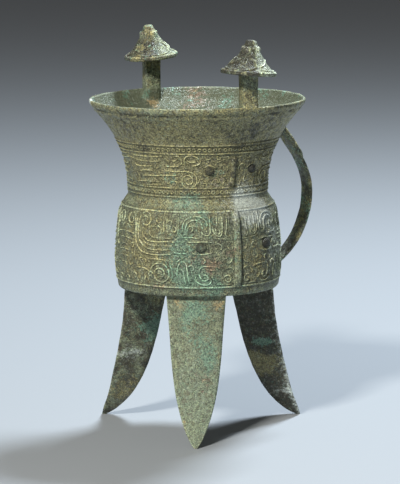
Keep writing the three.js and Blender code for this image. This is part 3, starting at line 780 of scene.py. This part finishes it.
for mask_side in (-1, 1):
    mask_angle = mask_side * math.pi / 2
    flange(mask_angle, BELLY_RADIUS, *BELLY_PANEL, *BELLY_FLANGE)
    flange(mask_angle, NECK_UNROLL, *NECK_PANEL, *NECK_FLANGE)
    for half in (-1, 1):
        eye(mask_angle, half, *BELLY_EYE)
        eye(mask_angle, half, *NECK_EYE)
        toward_handle = math.cos(mask_angle + half) > 0
        for line in BELLY_LINES + (() if toward_handle else FILLER_LINES):
            raised(line, mask_angle, half, BELLY_RADIUS, WORN_THREAD if toward_handle else BELLY_THREAD)
        for line in NECK_LINES:
            raised(line, mask_angle, half, NECK_UNROLL, NECK_THREAD)
        for line in BELLY_FILLING:
            raised(line, mask_angle, half, BELLY_RADIUS, FILLING_THREAD, FILLING_STEP)
        for line in NECK_FILLING:
            raised(line, mask_angle, half, NECK_UNROLL, FILLING_THREAD, FILLING_STEP)
borders()

# The casting: body, legs, handle, posts, caps and relief become one closed solid, as they were poured,
# and it stands for the whole CAD vessel.
join = casting.modifiers.new("join", "BOOLEAN")
join.operation = "UNION"
join.solver = "MANIFOLD"
join.operand_type = "COLLECTION"
join.collection = parts
joined = bpy.data.meshes.new_from_object(casting.evaluated_get(bpy.context.evaluated_depsgraph_get()))
casting.modifiers.clear()
casting.data = joined
for piece in list(parts.objects):
    bpy.data.objects.remove(piece)
bpy.data.collections.remove(parts)
joined.shade_smooth()

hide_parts("jia_vessel")
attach(casting, "root")

# The patina: grey-green and olive-gold corrosion over brown bronze, with turquoise and red-brown patches,
# dark hollows, dark smooth eyes and pale worn lines. Light and shade are painted in as well: painted shadows
# beside the flanges, on the neck's ribs and under the lip band, painted shade on the handle, the rear legs,
# the caps' left halves, the right-hand eyes and the upper belly's right, and painted highlights on the
# shoulder's right, the belly's right edge, the caps' right halves, the lip on the left, the right-hand leg's
# edges, the rim top and the handle's edges. Patches are placed by angle round the vessel and height, and the
# grain in between is procedural.
COLOURS = {
    "ground": (0.262, 0.300, 0.196),
    "shade": (0.150, 0.175, 0.115),
    "gold": (0.262, 0.244, 0.120),
    "brown": (0.105, 0.090, 0.058),
    "green": (0.155, 0.310, 0.235),
    "rust": (0.250, 0.168, 0.112),
    "ochre": (0.400, 0.300, 0.150),
    "pale": (0.232, 0.292, 0.212),
    "dark": (0.026, 0.026, 0.020),
    # Dark patina with painted shade, for the handle, the rear legs and the caps' left halves
    "dark_patina_and_shade": (0.040, 0.038, 0.030),
    "inside": (0.098, 0.116, 0.075),
    # Pale bloom, also used for painted highlights
    "pale_bloom_and_highlight": (0.640, 0.710, 0.670),
}
# How much brighter the worn backs of the lines, and the painted highlights on the rim top and the handle's
# edges, are than the patina round them, and the scattered flecks
CREST_GAIN = (2.25, 2.22, 2.2)
FLECK_GAIN = (1.95, 1.88, 1.66)
# Side that faces the camera, in degrees round the vessel
FRONT = -118.2
# Patches of each kind: the angle from the front, positive to the right, the height, size and strength
PATCHES = {
    "green": (
        (-13, 161, 9, 0.8), (-15, 146, 7, 0.6), (-12, 129, 9, 0.9), (1, 133, 9, 0.9), (12, 121, 8, 0.7),
        (4, 175, 8, 0.6), (-24, 136, 7, 0.4), (-13, 184, 10, 0.5), (-23, 207, 7, 0.5), (17, 208, 6, 0.5),
        (-4, 192, 7, 0.4), (30, 118, 8, 0.5), (-6, 100, 9, 0.5), (4, 78, 9, 0.5), (9, 62, 8, 0.5),
        (-8, 84, 7, 0.4), (2, 222, 6, 0.4), (40, 170, 7, 0.4), (-121, 76, 11, 1.2), (107, 66, 4, 1.1),
        (26, 160, 6, 0.5), (25, 140, 6, 0.5), (-2, 150, 16, 0.3), (0, 124, 14, 0.35), (0, 100, 12, 0.4),
        (5, 70, 10, 0.3),
    ),
    "rust": (
        (-5, 139, 8, 0.7), (10, 139, 9, 0.8), (3, 52, 5, 0.8), (2, 41, 4, 0.6), (26, 150, 7, 0.5),
        (180, 254, 12, 0.7), (-28, 122, 6, 0.5), (21, 200, 8, 0.4),
    ),
    "ochre": (
        (-16, 108, 4, 0.9), (15, 108, 5, 0.9), (208, 251, 6, 1.0), (180, 257, 6, 0.5), (-15, 88, 3, 0.6),
        (13, 66, 3, 0.7), (24, 116, 5, 0.5), (-8, 20, 5, 0.4), (20, 60, 3, 0.5), (-17, 70, 3, 0.4),
    ),
    "gold": (
        (-44, 147, 26, 0.8), (43, 138, 22, 0.6), (112, 48, 10, 1.2), (-122, 22, 12, 0.8),
        (-30, 215, 40, 0.7), (20, 222, 40, 1.0), (60, 205, 26, 0.7), (-2, 18, 12, 0.4), (0, 240, 30, 0.5),
        (-121, 100, 12, 0.5), (-62, 238, 24, 0.7), (58, 240, 22, 0.7), (-40, 247, 16, 0.7),
        (40, 247, 16, 0.8), (72, 246, 16, 0.8), (-78, 246, 16, 0.7), (-14, 60, 7, 0.5), (14, 40, 7, 0.5),
    ),
    "dark": (
        (46, 246, 22, 0.5), (-46, 246, 22, 0.48), (-14, 236, 8, 0.36), (30, 232, 8, 0.36),
        (2, 236, 5, 0.44), (-22, 246, 6, 0.44), (36, 243, 6, 0.4), (10, 247, 9, 0.46), (-3, 243, 7, 0.42),
        (21, 240, 9, 0.38), (-30, 252, 7, 0.36), (54, 138, 13, 0.42), (38, 120, 9, 0.36),
        (-38, 228, 8, 0.34), (58, 225, 9, 0.36), (-20, 50, 3, 0.4), (1, 52, 6, 0.3),
    ),
    "pale": (
        (0, 60, 34, 0.6), (0, 20, 26, 0.8), (-111, 56, 8, 0.5), (-106, 92, 10, 0.5), (-10, 184, 16, 0.8),
    ),
    # Painted highlights on the shoulder's right, the belly's right edge and the lip on the left; pale bloom
    # on the legs
    "pale_bloom_and_highlight": (
        (38, 183, 13, 1.3), (56, 179, 12, 1.2), (64, 160, 8, 0.4), (64, 142, 9, 0.3), (-84, 259, 7, 1.6),
        (-111, 54, 5, 0.5), (110, 21, 4, 0.9),
    ),
}
# How dark the handle is painted as shade, and each rear leg as dark patina with painted shade
HANDLE_SHADE = 0.75
LEFT_LEG_DARK_AND_SHADE = 0.66
RIGHT_LEG_DARK_AND_SHADE = 1.0
# Painted shade on a cap's left half, a painted highlight on its right half, and more painted shade on the
# left
CAP_SHADE = 0.8
# Where the painted shade on a cap's left half ends and its painted highlight on the right begins, in degrees
# from the front. In pairs, the near cap or post comes first.
CAP_SHADE_EDGE = 22
CAP_HIGHLIGHT = (0.36, 0.18)
CAP_DEEPER_SHADE = (0.66, 0.1)
POST_GOLD = (0.9, 0.3)
# Finest winding lines: how far apart and how wide, in millimetres
FINE_LINES = (4.4, 0.8)
ROUGHNESS = (0.38, 0.74)
METALLIC = 0.2
BUMP_DEPTH = 0.0009


def fade(value, low, high):
    share = np.clip((np.asarray(value, float) - low) / (high - low), 0, 1)
    return share * share * (3 - 2 * share)


def between(value, low, high):
    return (value > low) & (value < high)


def on_line(off, width):
    """1 on a line, falling off smoothly within about a width of it"""
    return np.exp(-(off / width) ** 2)


def at_least(fields, kind, values):
    fields[kind] = np.maximum(fields[kind], values)


def survey(mesh):
    """Where each vertex lies, in millimetres and degrees, and which part of the vessel it belongs to"""
    at = SimpleNamespace()
    place = np.empty(len(mesh.vertices) * 3)
    mesh.vertices.foreach_get("co", place)
    place = place.reshape(-1, 3) / MM
    at.x = place[:, 0] - AXIS_X
    at.y = place[:, 1]
    at.z = place[:, 2]
    at.r = np.hypot(at.x, at.y)
    at.angle = np.degrees(np.arctan2(at.y, at.x))
    at.turned = (at.angle - FRONT + 180) % 360 - 180
    table = np.arange(BELLY_BOTTOM, RIM_HEIGHT + 0.5, 0.25)
    outside = np.interp(at.z, table, [body_radius(h) for h in table])
    slope = np.interp(at.z, table, [body_slope(h) for h in table])
    at.proud = (at.r - outside) / np.hypot(1, slope)
    at.on_cup = between(at.z, BELLY_BOTTOM - 0.5, RIM_HEIGHT + 0.5)
    at.inside = at.on_cup & (at.proud < -1.4)
    at.on_wall = at.on_cup & ~at.inside
    at.on_legs = at.z < BELLY_BOTTOM - 1
    beyond_wall = (at.x > 60) & (at.r > outside + 2.2)
    at.on_handle = (np.abs(at.y) < HANDLE_WIDTH) & beyond_wall & between(at.z, 118, 246)
    at.warp = np.array([[rough(p, 11, 21), rough(p, 11, 22), rough(p, 4.5, 23)] for p in place])
    # Distance round the wall from the nearer flange's middle, and half that flange's width
    at.from_flange = np.radians((at.angle + 180) % 180 - 90) * at.r
    at.flange_half = np.where(at.z < SHOULDER_BREAK, BELLY_FLANGE[0], NECK_FLANGE[0]) / 2
    return at


def on_eyes(at):
    """1 on the eyes of the masks, 0 elsewhere"""
    eyes = np.zeros(len(at.z))
    for mask_angle in (-90, 90):
        for half in (-1, 1):
            for out, level, unroll, across, up, _ in (BELLY_EYE, NECK_EYE):
                middle = mask_angle + half * math.degrees(out / unroll)
                off = np.radians((at.angle - middle + 180) % 360 - 180) * at.r
                eyes = np.maximum(eyes, (np.hypot(off / across, (at.z - level) / up) < 1.04) & at.on_wall)
    return eyes


def paint_ground(fields, at):
    """The placed patches, the free ones on the hidden side, the dark patina and painted shade of the rear
    legs, and the painted shade on the handle
    """
    for kind, spots in PATCHES.items():
        for turn, level, size, strength in spots:
            off = (at.angle - (FRONT + turn) + 180) % 360 - 180
            arc = np.radians(off) * np.maximum(at.r, 30) + at.warp[:, 0] * 7
            reach = np.hypot(arc, at.z - level + at.warp[:, 1] * 7) / size
            fields[kind] += strength * np.exp(-reach ** 2)
    hidden = fade(np.abs(at.turned), 70, 100) * (at.z > BELLY_BOTTOM)
    fields["green"] += hidden * 0.55 * fade(at.warp[:, 0] + at.warp[:, 2] * 0.4, 0.05, 0.5)
    fields["gold"] += hidden * 0.7 * fade(at.warp[:, 1], -0.1, 0.5)
    # The rear legs: dark patina with painted shade, most of it on the right-hand one
    fields["dark_patina_and_shade"] += at.on_legs * ((at.turned < -40) * LEFT_LEG_DARK_AND_SHADE + (at.turned > 40) * RIGHT_LEG_DARK_AND_SHADE)
    # The handle: painted shade
    fields["dark_patina_and_shade"] += at.on_handle * HANDLE_SHADE


def paint_wall(fields, at):
    """Dark eyes with painted shade on the right-hand ones, painted shadows beside the flanges, on the neck's
    ribs and under the lip band, worn crests with painted shade over them under the shoulder and a painted
    highlight along the rim top, and hollows
    """
    eyes = on_eyes(at)
    # The eyes are dark; those on the right, where the side lamp falls, get painted shade on top
    right_side = at.turned > 28
    eye_dark_and_shade = np.where(right_side, 1.0, np.where(at.z > SHOULDER_BREAK, 0.8, 0.7))
    at_least(fields, "dark", eyes * eye_dark_and_shade)
    fields["eye"] += eyes * np.where(right_side, 0.85, 0.0)
    fields["pale"] *= 1 - eyes
    fields["pale_bloom_and_highlight"] *= 1 - eyes
    in_panel = between(at.z, BELLY_PANEL[0] - 1, BELLY_PANEL[1])
    in_panel |= between(at.z, NECK_PANEL[0] - 1, NECK_PANEL[1] + 1)
    # Painted shadow beside each flange, strongest on one side of the front flanges, and painted shade in the
    # creases on both sides
    flange_shadow = on_line(at.from_flange - at.flange_half + 0.2, 0.9) * (at.y < 0)
    flange_shadow += 0.35 * on_line(np.abs(at.from_flange) - at.flange_half, 0.8)
    at_least(fields, "dark", flange_shadow * in_panel * at.on_wall * 0.95)
    # Painted shade over the neck's ribs
    neck_rib_shade = (np.abs(at.from_flange) < at.flange_half) & between(at.z, *NECK_PANEL) & at.on_wall
    at_least(fields, "dark", neck_rib_shade * 0.62)
    # Painted shadow under the lip band, broken up
    lip_band_shadow = on_line(at.z - RIM_HEIGHT + LIP_BAND + 0.6, 0.75) * at.on_wall
    broken = fade(at.warp[:, 0] + at.warp[:, 2] * 0.5, -0.5, 0.25)
    at_least(fields, "dark", lip_band_shadow * broken * 0.8)
    crest = fade(at.proud, 0.1, 0.42) * at.on_wall * (1 - eyes) * (at.z < 236) * ~at.on_handle
    crest *= 1 - 0.9 * (np.abs(at.from_flange) < at.flange_half + 0.5)
    crest *= 1 - 0.45 * (between(at.z, 188, 198.2) | between(at.z, 223, 232))
    crest *= 1 - 0.35 * fade(at.turned, 28, 40)
    # Painted shade: the pale worn backs are dimmed on the upper belly's right, under the shoulder
    crest *= 1 - 0.75 * fade(at.turned, 20, 28) * fade(at.z, 150, 160) * (at.z < 182)
    # A pale band along the rim top: wear with a painted highlight
    fields["crest"] = np.maximum(crest, at.on_cup * fade(at.z, RIM_HEIGHT - 0.9, RIM_HEIGHT - 0.35) * 0.5)
    relief = between(at.z, 117, 181) | between(at.z, 188.5, 232)
    fields["hollow"] += relief * at.on_wall * (1 - fade(at.proud, 0.05, 0.3)) * (1 - eyes)
    on_mask = between(at.z, *BELLY_PANEL) | between(at.z, NECK_PANEL[0], NECK_PANEL[1] + 3)
    # Only the plain wall between the lines: its own vertices stand on whole steps round the body
    bare = np.abs(at.angle * BODY_STEPS / 360 - np.round(at.angle * BODY_STEPS / 360)) < 0.004
    clear = np.abs(at.from_flange) > at.flange_half + 1
    fields["filling"] += fields["hollow"] * on_mask * bare * clear


def paint_cap(fields, at, side):
    """Worn lines on a cap, painted shade on its left half and a painted highlight on its right, and gold on
    its post
    """
    tilt = Euler((0, side * CAP_TILT, 0)).to_matrix()
    seat = np.array((POST_SHIFT, side * POST_RADIUS, CAP_BRIM_HEIGHT))
    local = (np.column_stack([at.x, at.y, at.z]) - seat) @ np.array(tilt).T
    out = np.hypot(local[:, 0], local[:, 1])
    cone = np.array([cap_cone(share) for share in np.linspace(0, 1, 60)])
    stands = (local[:, 2] - np.interp(-out, -cone[:, 0], cone[:, 1])) * 0.8
    high = at.z > RIM_HEIGHT + 8
    on_cone = high & between(out, CAP_KNOB_RADIUS, CAP_RADIUS + 1) & (local[:, 2] > 1)
    at_least(fields, "crest", on_cone * fade(stands, 0.12, 0.36) * 0.9)
    whole_cap = high & (out < CAP_RADIUS + 1) & (local[:, 2] > -0.5)
    facing = (np.degrees(np.arctan2(local[:, 1], local[:, 0])) - FRONT + 180) % 360 - 180
    # Painted shade on the cap's left half, olive and darker
    shaded_side = whole_cap * CAP_SHADE * fade(facing, CAP_SHADE_EDGE + 16, CAP_SHADE_EDGE - 8)
    fields["dark_patina_and_shade"] += shaded_side
    fields["gold"] += shaded_side * 0.12
    fields["dark"] += shaded_side * CAP_DEEPER_SHADE[side > 0]
    # Painted highlight on the cap's right half
    lit_side = fade(facing, CAP_SHADE_EDGE, CAP_SHADE_EDGE + 24) * (facing < 120)
    at_least(fields, "pale_bloom_and_highlight", whole_cap * CAP_HIGHLIGHT[side > 0] * lit_side)
    near_post = np.hypot(at.x - POST_SHIFT, at.y - side * POST_RADIUS) < 9
    on_post = (at.z > RIM_HEIGHT - 2) & ~whole_cap & near_post
    fields["gold"] += on_post * POST_GOLD[side > 0] * fade(at.warp[:, 1], -0.4, 0.3)


def paint_edges(fields, at):
    """Worn long edges of the legs, a painted highlight on the right-hand leg's edges, and a painted highlight
    along the handle's long edges
    """
    widths = np.array([(share, wide * LEG_WIDTH / 2) for share, _, _, wide in LEG_STATIONS])
    half = np.interp(at.z / (BELLY_BOTTOM + LEG_SUNK), widths[:, 0], widths[:, 1])
    for number in range(LEG_COUNT):
        turn = number * FULL_TURN / LEG_COUNT
        across = np.abs(at.y * math.cos(turn) - at.x * math.sin(turn))
        ahead = at.x * math.cos(turn) + at.y * math.sin(turn)
        worn_edge = at.on_legs * (ahead > 20) * on_line(across - half, 0.9)
        at_least(fields, "crest", worn_edge * 0.6)
        # Painted highlight along the edges of the right-hand leg
        at_least(fields, "pale_bloom_and_highlight", worn_edge * (at.turned > 60) * 0.5)
    # Painted highlight along the handle's long edges
    handle_edge_highlight = at.on_handle * on_line(np.abs(at.y) - HANDLE_WIDTH / 2 + 0.5, 0.8)
    at_least(fields, "crest", handle_edge_highlight * 0.9)


def paint(mesh):
    """Vertex attributes that tell the material where each kind of corrosion and wear lies, and where shade
    and highlights are painted
    """
    at = survey(mesh)
    fields = {kind: np.zeros(len(at.z)) for kind in (*PATCHES, "dark_patina_and_shade", "eye", "crest", "hollow", "filling")}
    paint_ground(fields, at)
    paint_wall(fields, at)
    for side in (-1, 1):
        paint_cap(fields, at, side)
    paint_edges(fields, at)
    fields["inside"] = at.inside.astype(float)
    fields["leg"] = at.on_legs.astype(float)
    for kind, values in fields.items():
        attribute = mesh.attributes.new(kind, "FLOAT", "POINT")
        attribute.data.foreach_set("value", np.clip(values, 0, 1).astype(np.float32))


paint(joined)


def patinated_bronze():
    material = bpy.data.materials.new("patinated_bronze")
    material.use_nodes = True
    nodes = material.node_tree.nodes
    links = material.node_tree.links
    shader = nodes["Principled BSDF"]
    where = nodes.new("ShaderNodeTexCoord").outputs["Object"]

    def grain(size_mm, detail=3.0, rough_share=0.6, low=0.35, high=0.65):
        """Noise of a size, spread to 0 to 1 between two of its values"""
        texture = nodes.new("ShaderNodeTexNoise")
        texture.inputs["Scale"].default_value = 1 / (size_mm * MM)
        texture.inputs["Detail"].default_value = detail
        texture.inputs["Roughness"].default_value = rough_share
        links.new(where, texture.inputs["Vector"])
        return spread_out(texture.outputs["Fac"], low, high)

    def spread_out(value, low, high, to_low=0.0, to_high=1.0):
        remap = nodes.new("ShaderNodeMapRange")
        remap.interpolation_type = "SMOOTHSTEP"
        for name, number in (("From Min", low), ("From Max", high), ("To Min", to_low), ("To Max", to_high)):
            remap.inputs[name].default_value = number
        links.new(value, remap.inputs["Value"])
        return remap.outputs["Result"]

    def reckon(operation, a, b):
        maths = nodes.new("ShaderNodeMath")
        maths.operation = operation
        maths.use_clamp = True
        for socket, value in zip(maths.inputs, (a, b)):
            if isinstance(value, (int, float)):
                socket.default_value = value
            else:
                links.new(value, socket)
        return maths.outputs["Value"]

    def times(a, b):
        return reckon("MULTIPLY", a, b)

    def plus(a, b):
        return reckon("ADD", a, b)

    def blend(colour, other, share, how="MIX"):
        mix = nodes.new("ShaderNodeMix")
        mix.data_type = "RGBA"
        mix.blend_type = how
        for name, value in (("A", colour), ("B", other)):
            socket = next(s for s in mix.inputs if s.name == name and s.type == "RGBA")
            if isinstance(value, tuple):
                socket.default_value = (*value, 1)
            else:
                links.new(value, socket)
        factor = next(s for s in mix.inputs if s.name == "Factor" and s.type == "VALUE")
        if isinstance(share, (int, float)):
            factor.default_value = share
        else:
            links.new(share, factor)
        return next(s for s in mix.outputs if s.type == "RGBA")

    def field(name):
        attribute = nodes.new("ShaderNodeAttribute")
        attribute.attribute_name = name
        return attribute.outputs["Fac"]

    def cover(colour, kind, amount, size_mm, low=0.42, high=0.62):
        """A layer where its kind is painted, broken up by grain so that its edge is ragged"""
        ragged = times(grain(size_mm, 4.0, 0.65, 0.3, 0.7), 0.4)
        share = spread_out(plus(times(field(kind), 0.62), ragged), low, high)
        return blend(colour, COLOURS[kind], times(share, amount))

    def curls(size_mm, line_mm):
        """Rings round scattered points, for the finest winding lines between the raised ones"""
        texture = nodes.new("ShaderNodeTexVoronoi")
        texture.inputs["Scale"].default_value = 1 / (size_mm * MM)
        texture.inputs["Randomness"].default_value = 0.85
        links.new(where, texture.inputs["Vector"])
        wave = nodes.new("ShaderNodeMath")
        wave.operation = "PINGPONG"
        wave.inputs[1].default_value = line_mm / size_mm
        links.new(texture.outputs["Distance"], wave.inputs[0])
        return spread_out(wave.outputs["Value"], 0, line_mm / size_mm)

    open_air = spread_out(field("inside"), 0, 1, 1, 0.3)
    pitted = times(open_air, spread_out(field("leg"), 0, 1, 1, 0.8))
    pitted = times(pitted, spread_out(field("pale_bloom_and_highlight"), 0, 1, 1, 0.5))
    fine_lines = curls(*FINE_LINES)
    colour = blend(COLOURS["shade"], COLOURS["ground"], grain(6, 4.0, 0.65))
    # Dark patina and painted shade on the rear legs, the handle and the caps' left halves
    colour = cover(colour, "dark_patina_and_shade", 0.95, 7, 0.3, 0.8)
    colour = cover(colour, "gold", 0.85, 4, 0.28, 0.7)
    colour = blend(colour, COLOURS["inside"], times(field("inside"), 0.86))
    colour = cover(colour, "pale", 0.75, 4)
    brown = times(grain(3.2, 3.0, 0.65, 0.50, 0.66), 0.62)
    colour = blend(colour, COLOURS["brown"], times(brown, open_air))
    green = times(grain(2.2, 4.0, 0.7, 0.56, 0.68), 0.36)
    colour = blend(colour, COLOURS["green"], times(green, open_air))
    colour = cover(colour, "rust", 0.7, 2.6)
    colour = cover(colour, "ochre", 0.7, 2.2)
    colour = cover(colour, "green", 0.58, 2.2)
    # Dark patches and eyes, and painted shadows beside the flanges, on the neck's ribs, under the lip band
    # and on the caps' left halves
    colour = cover(colour, "dark", 0.86, 3.5, 0.36, 0.72)
    # Pale bloom and painted highlights
    colour = cover(colour, "pale_bloom_and_highlight", 0.85, 2.6, 0.22, 0.86)
    colour = blend(colour, COLOURS["dark"], times(field("hollow"), 0.38))
    filled = times(field("filling"), fine_lines)
    colour = blend(colour, CREST_GAIN, times(filled, 0.55), "MULTIPLY")
    # Pale worn backs of the lines, and painted highlights on the rim top and the handle's edges
    crest = times(field("crest"), grain(5, 3.0, 0.6, 0.2, 0.46))
    colour = blend(colour, CREST_GAIN, crest, "MULTIPLY")
    pits = times(grain(1.15, 3.0, 0.6, 0.49, 0.6), 0.74)
    colour = blend(colour, COLOURS["dark"], times(pits, pitted))
    flecks = grain(1.0, 3.0, 0.6, 0.5, 0.64)
    colour = blend(colour, FLECK_GAIN, times(flecks, pitted), "MULTIPLY")
    # Painted shade over the right-hand eyes
    colour = blend(colour, COLOURS["dark"], field("eye"))
    links.new(colour, shader.inputs["Base Color"])
    links.new(spread_out(grain(4, 3.0), 0, 1, *ROUGHNESS), shader.inputs["Roughness"])
    shader.inputs["Metallic"].default_value = METALLIC
    bump = nodes.new("ShaderNodeBump")
    bump.inputs["Strength"].default_value = 1.0
    bump.inputs["Distance"].default_value = BUMP_DEPTH
    fine_skin = times(grain(1.1, 4.0, 0.6, 0.2, 0.8), 0.5)
    coarse_skin = times(grain(4.5, 3.0, 0.6, 0.2, 0.8), 0.2)
    rough_skin = plus(fine_skin, coarse_skin)
    links.new(plus(rough_skin, times(filled, 0.3)), bump.inputs["Height"])
    links.new(bump.outputs["Normal"], shader.inputs["Normal"])
    return material


joined.materials.clear()
joined.materials.append(patinated_bronze())

# The floor: a plain pale studio surface under the feet.
FLOOR_HALF = 9
FLOOR_COLOUR = (0.31, 0.335, 0.36, 1)
FLOOR_ROUGHNESS = 0.6
floor_mesh = bpy.data.meshes.new("floor")
floor_corners = [(x * FLOOR_HALF, y * FLOOR_HALF, 0) for x, y in ((-1, -1), (1, -1), (1, 1), (-1, 1))]
floor_mesh.from_pydata(floor_corners, [], [(0, 1, 2, 3)])
floor = bpy.data.objects.new("floor", floor_mesh)
bpy.context.scene.collection.objects.link(floor)
floor_paint = bpy.data.materials.new("studio_floor")
floor_paint.use_nodes = True
floor_shader = floor_paint.node_tree.nodes["Principled BSDF"]
floor_shader.inputs["Base Color"].default_value = FLOOR_COLOUR
floor_shader.inputs["Roughness"].default_value = FLOOR_ROUGHNESS
floor_mesh.materials.append(floor_paint)

# The camera: far off with a long lens, a little above the lip, as in the photograph.
CAMERA_TOWARD = Vector((-0.4726, -0.8813, 0))
CAMERA_ACROSS = Vector((0.8813, -0.4726, 0))
CAMERA_AWAY = 2687
CAMERA_ASIDE = 1.6
CAMERA_HEIGHT = 549.2
CAMERA_TURN = math.radians(-28.2)
CAMERA_PITCH = math.radians(90 - 8.51)
CAMERA_ROLL = -0.006
CAMERA_LENS = 256.2
camera_data = bpy.data.cameras.new("camera")
camera_data.lens = CAMERA_LENS
camera_data.sensor_width = 36
camera_data.clip_end = 50
camera = bpy.data.objects.new("camera", camera_data)
camera_offset = CAMERA_TOWARD * CAMERA_AWAY + CAMERA_ACROSS * CAMERA_ASIDE
camera.location = (Vector((AXIS_X, 0, CAMERA_HEIGHT)) + camera_offset) * MM
camera.rotation_euler = (
    Matrix.Rotation(CAMERA_TURN, 3, "Z") @ Matrix.Rotation(CAMERA_PITCH, 3, "X")
    @ Matrix.Rotation(CAMERA_ROLL, 3, "Z")
).to_euler()
bpy.context.scene.collection.objects.link(camera)
bpy.context.scene.camera = camera
bpy.context.scene.view_settings.view_transform = "Standard"

# The light: dim grey surroundings, a warm square lamp from the left in front and a cool one from the right
# behind, each turned toward a point.
WORLD_COLOUR = (0.8, 0.8, 0.8, 1)
WORLD_STRENGTH = 0.13
# For each lamp: name, place, aim, size, power and colour
LAMPS = (
    ("key", (-1.5, -1.15, 1.8), (0, 0, 0.16), 0.3, 74, (1, 0.97, 0.9)),
    ("side", (0.87, 0.5, 1.81), (0, 0, 0.22), 0.42, 68, (0.82, 0.91, 1)),
)
world = bpy.data.worlds.new("studio")
bpy.context.scene.world = world
world.use_nodes = True
world.node_tree.nodes["Background"].inputs["Color"].default_value = WORLD_COLOUR
world.node_tree.nodes["Background"].inputs["Strength"].default_value = WORLD_STRENGTH
for lamp_name, place, aim, size, power, colour in LAMPS:
    data = bpy.data.lights.new(lamp_name, "AREA")
    data.size = size
    data.energy = power
    data.color = colour
    lamp = bpy.data.objects.new(lamp_name, data)
    lamp.location = place
    lamp.rotation_euler = (Vector(aim) - Vector(place)).to_track_quat("-Z", "Y").to_euler()
    bpy.context.scene.collection.objects.link(lamp)
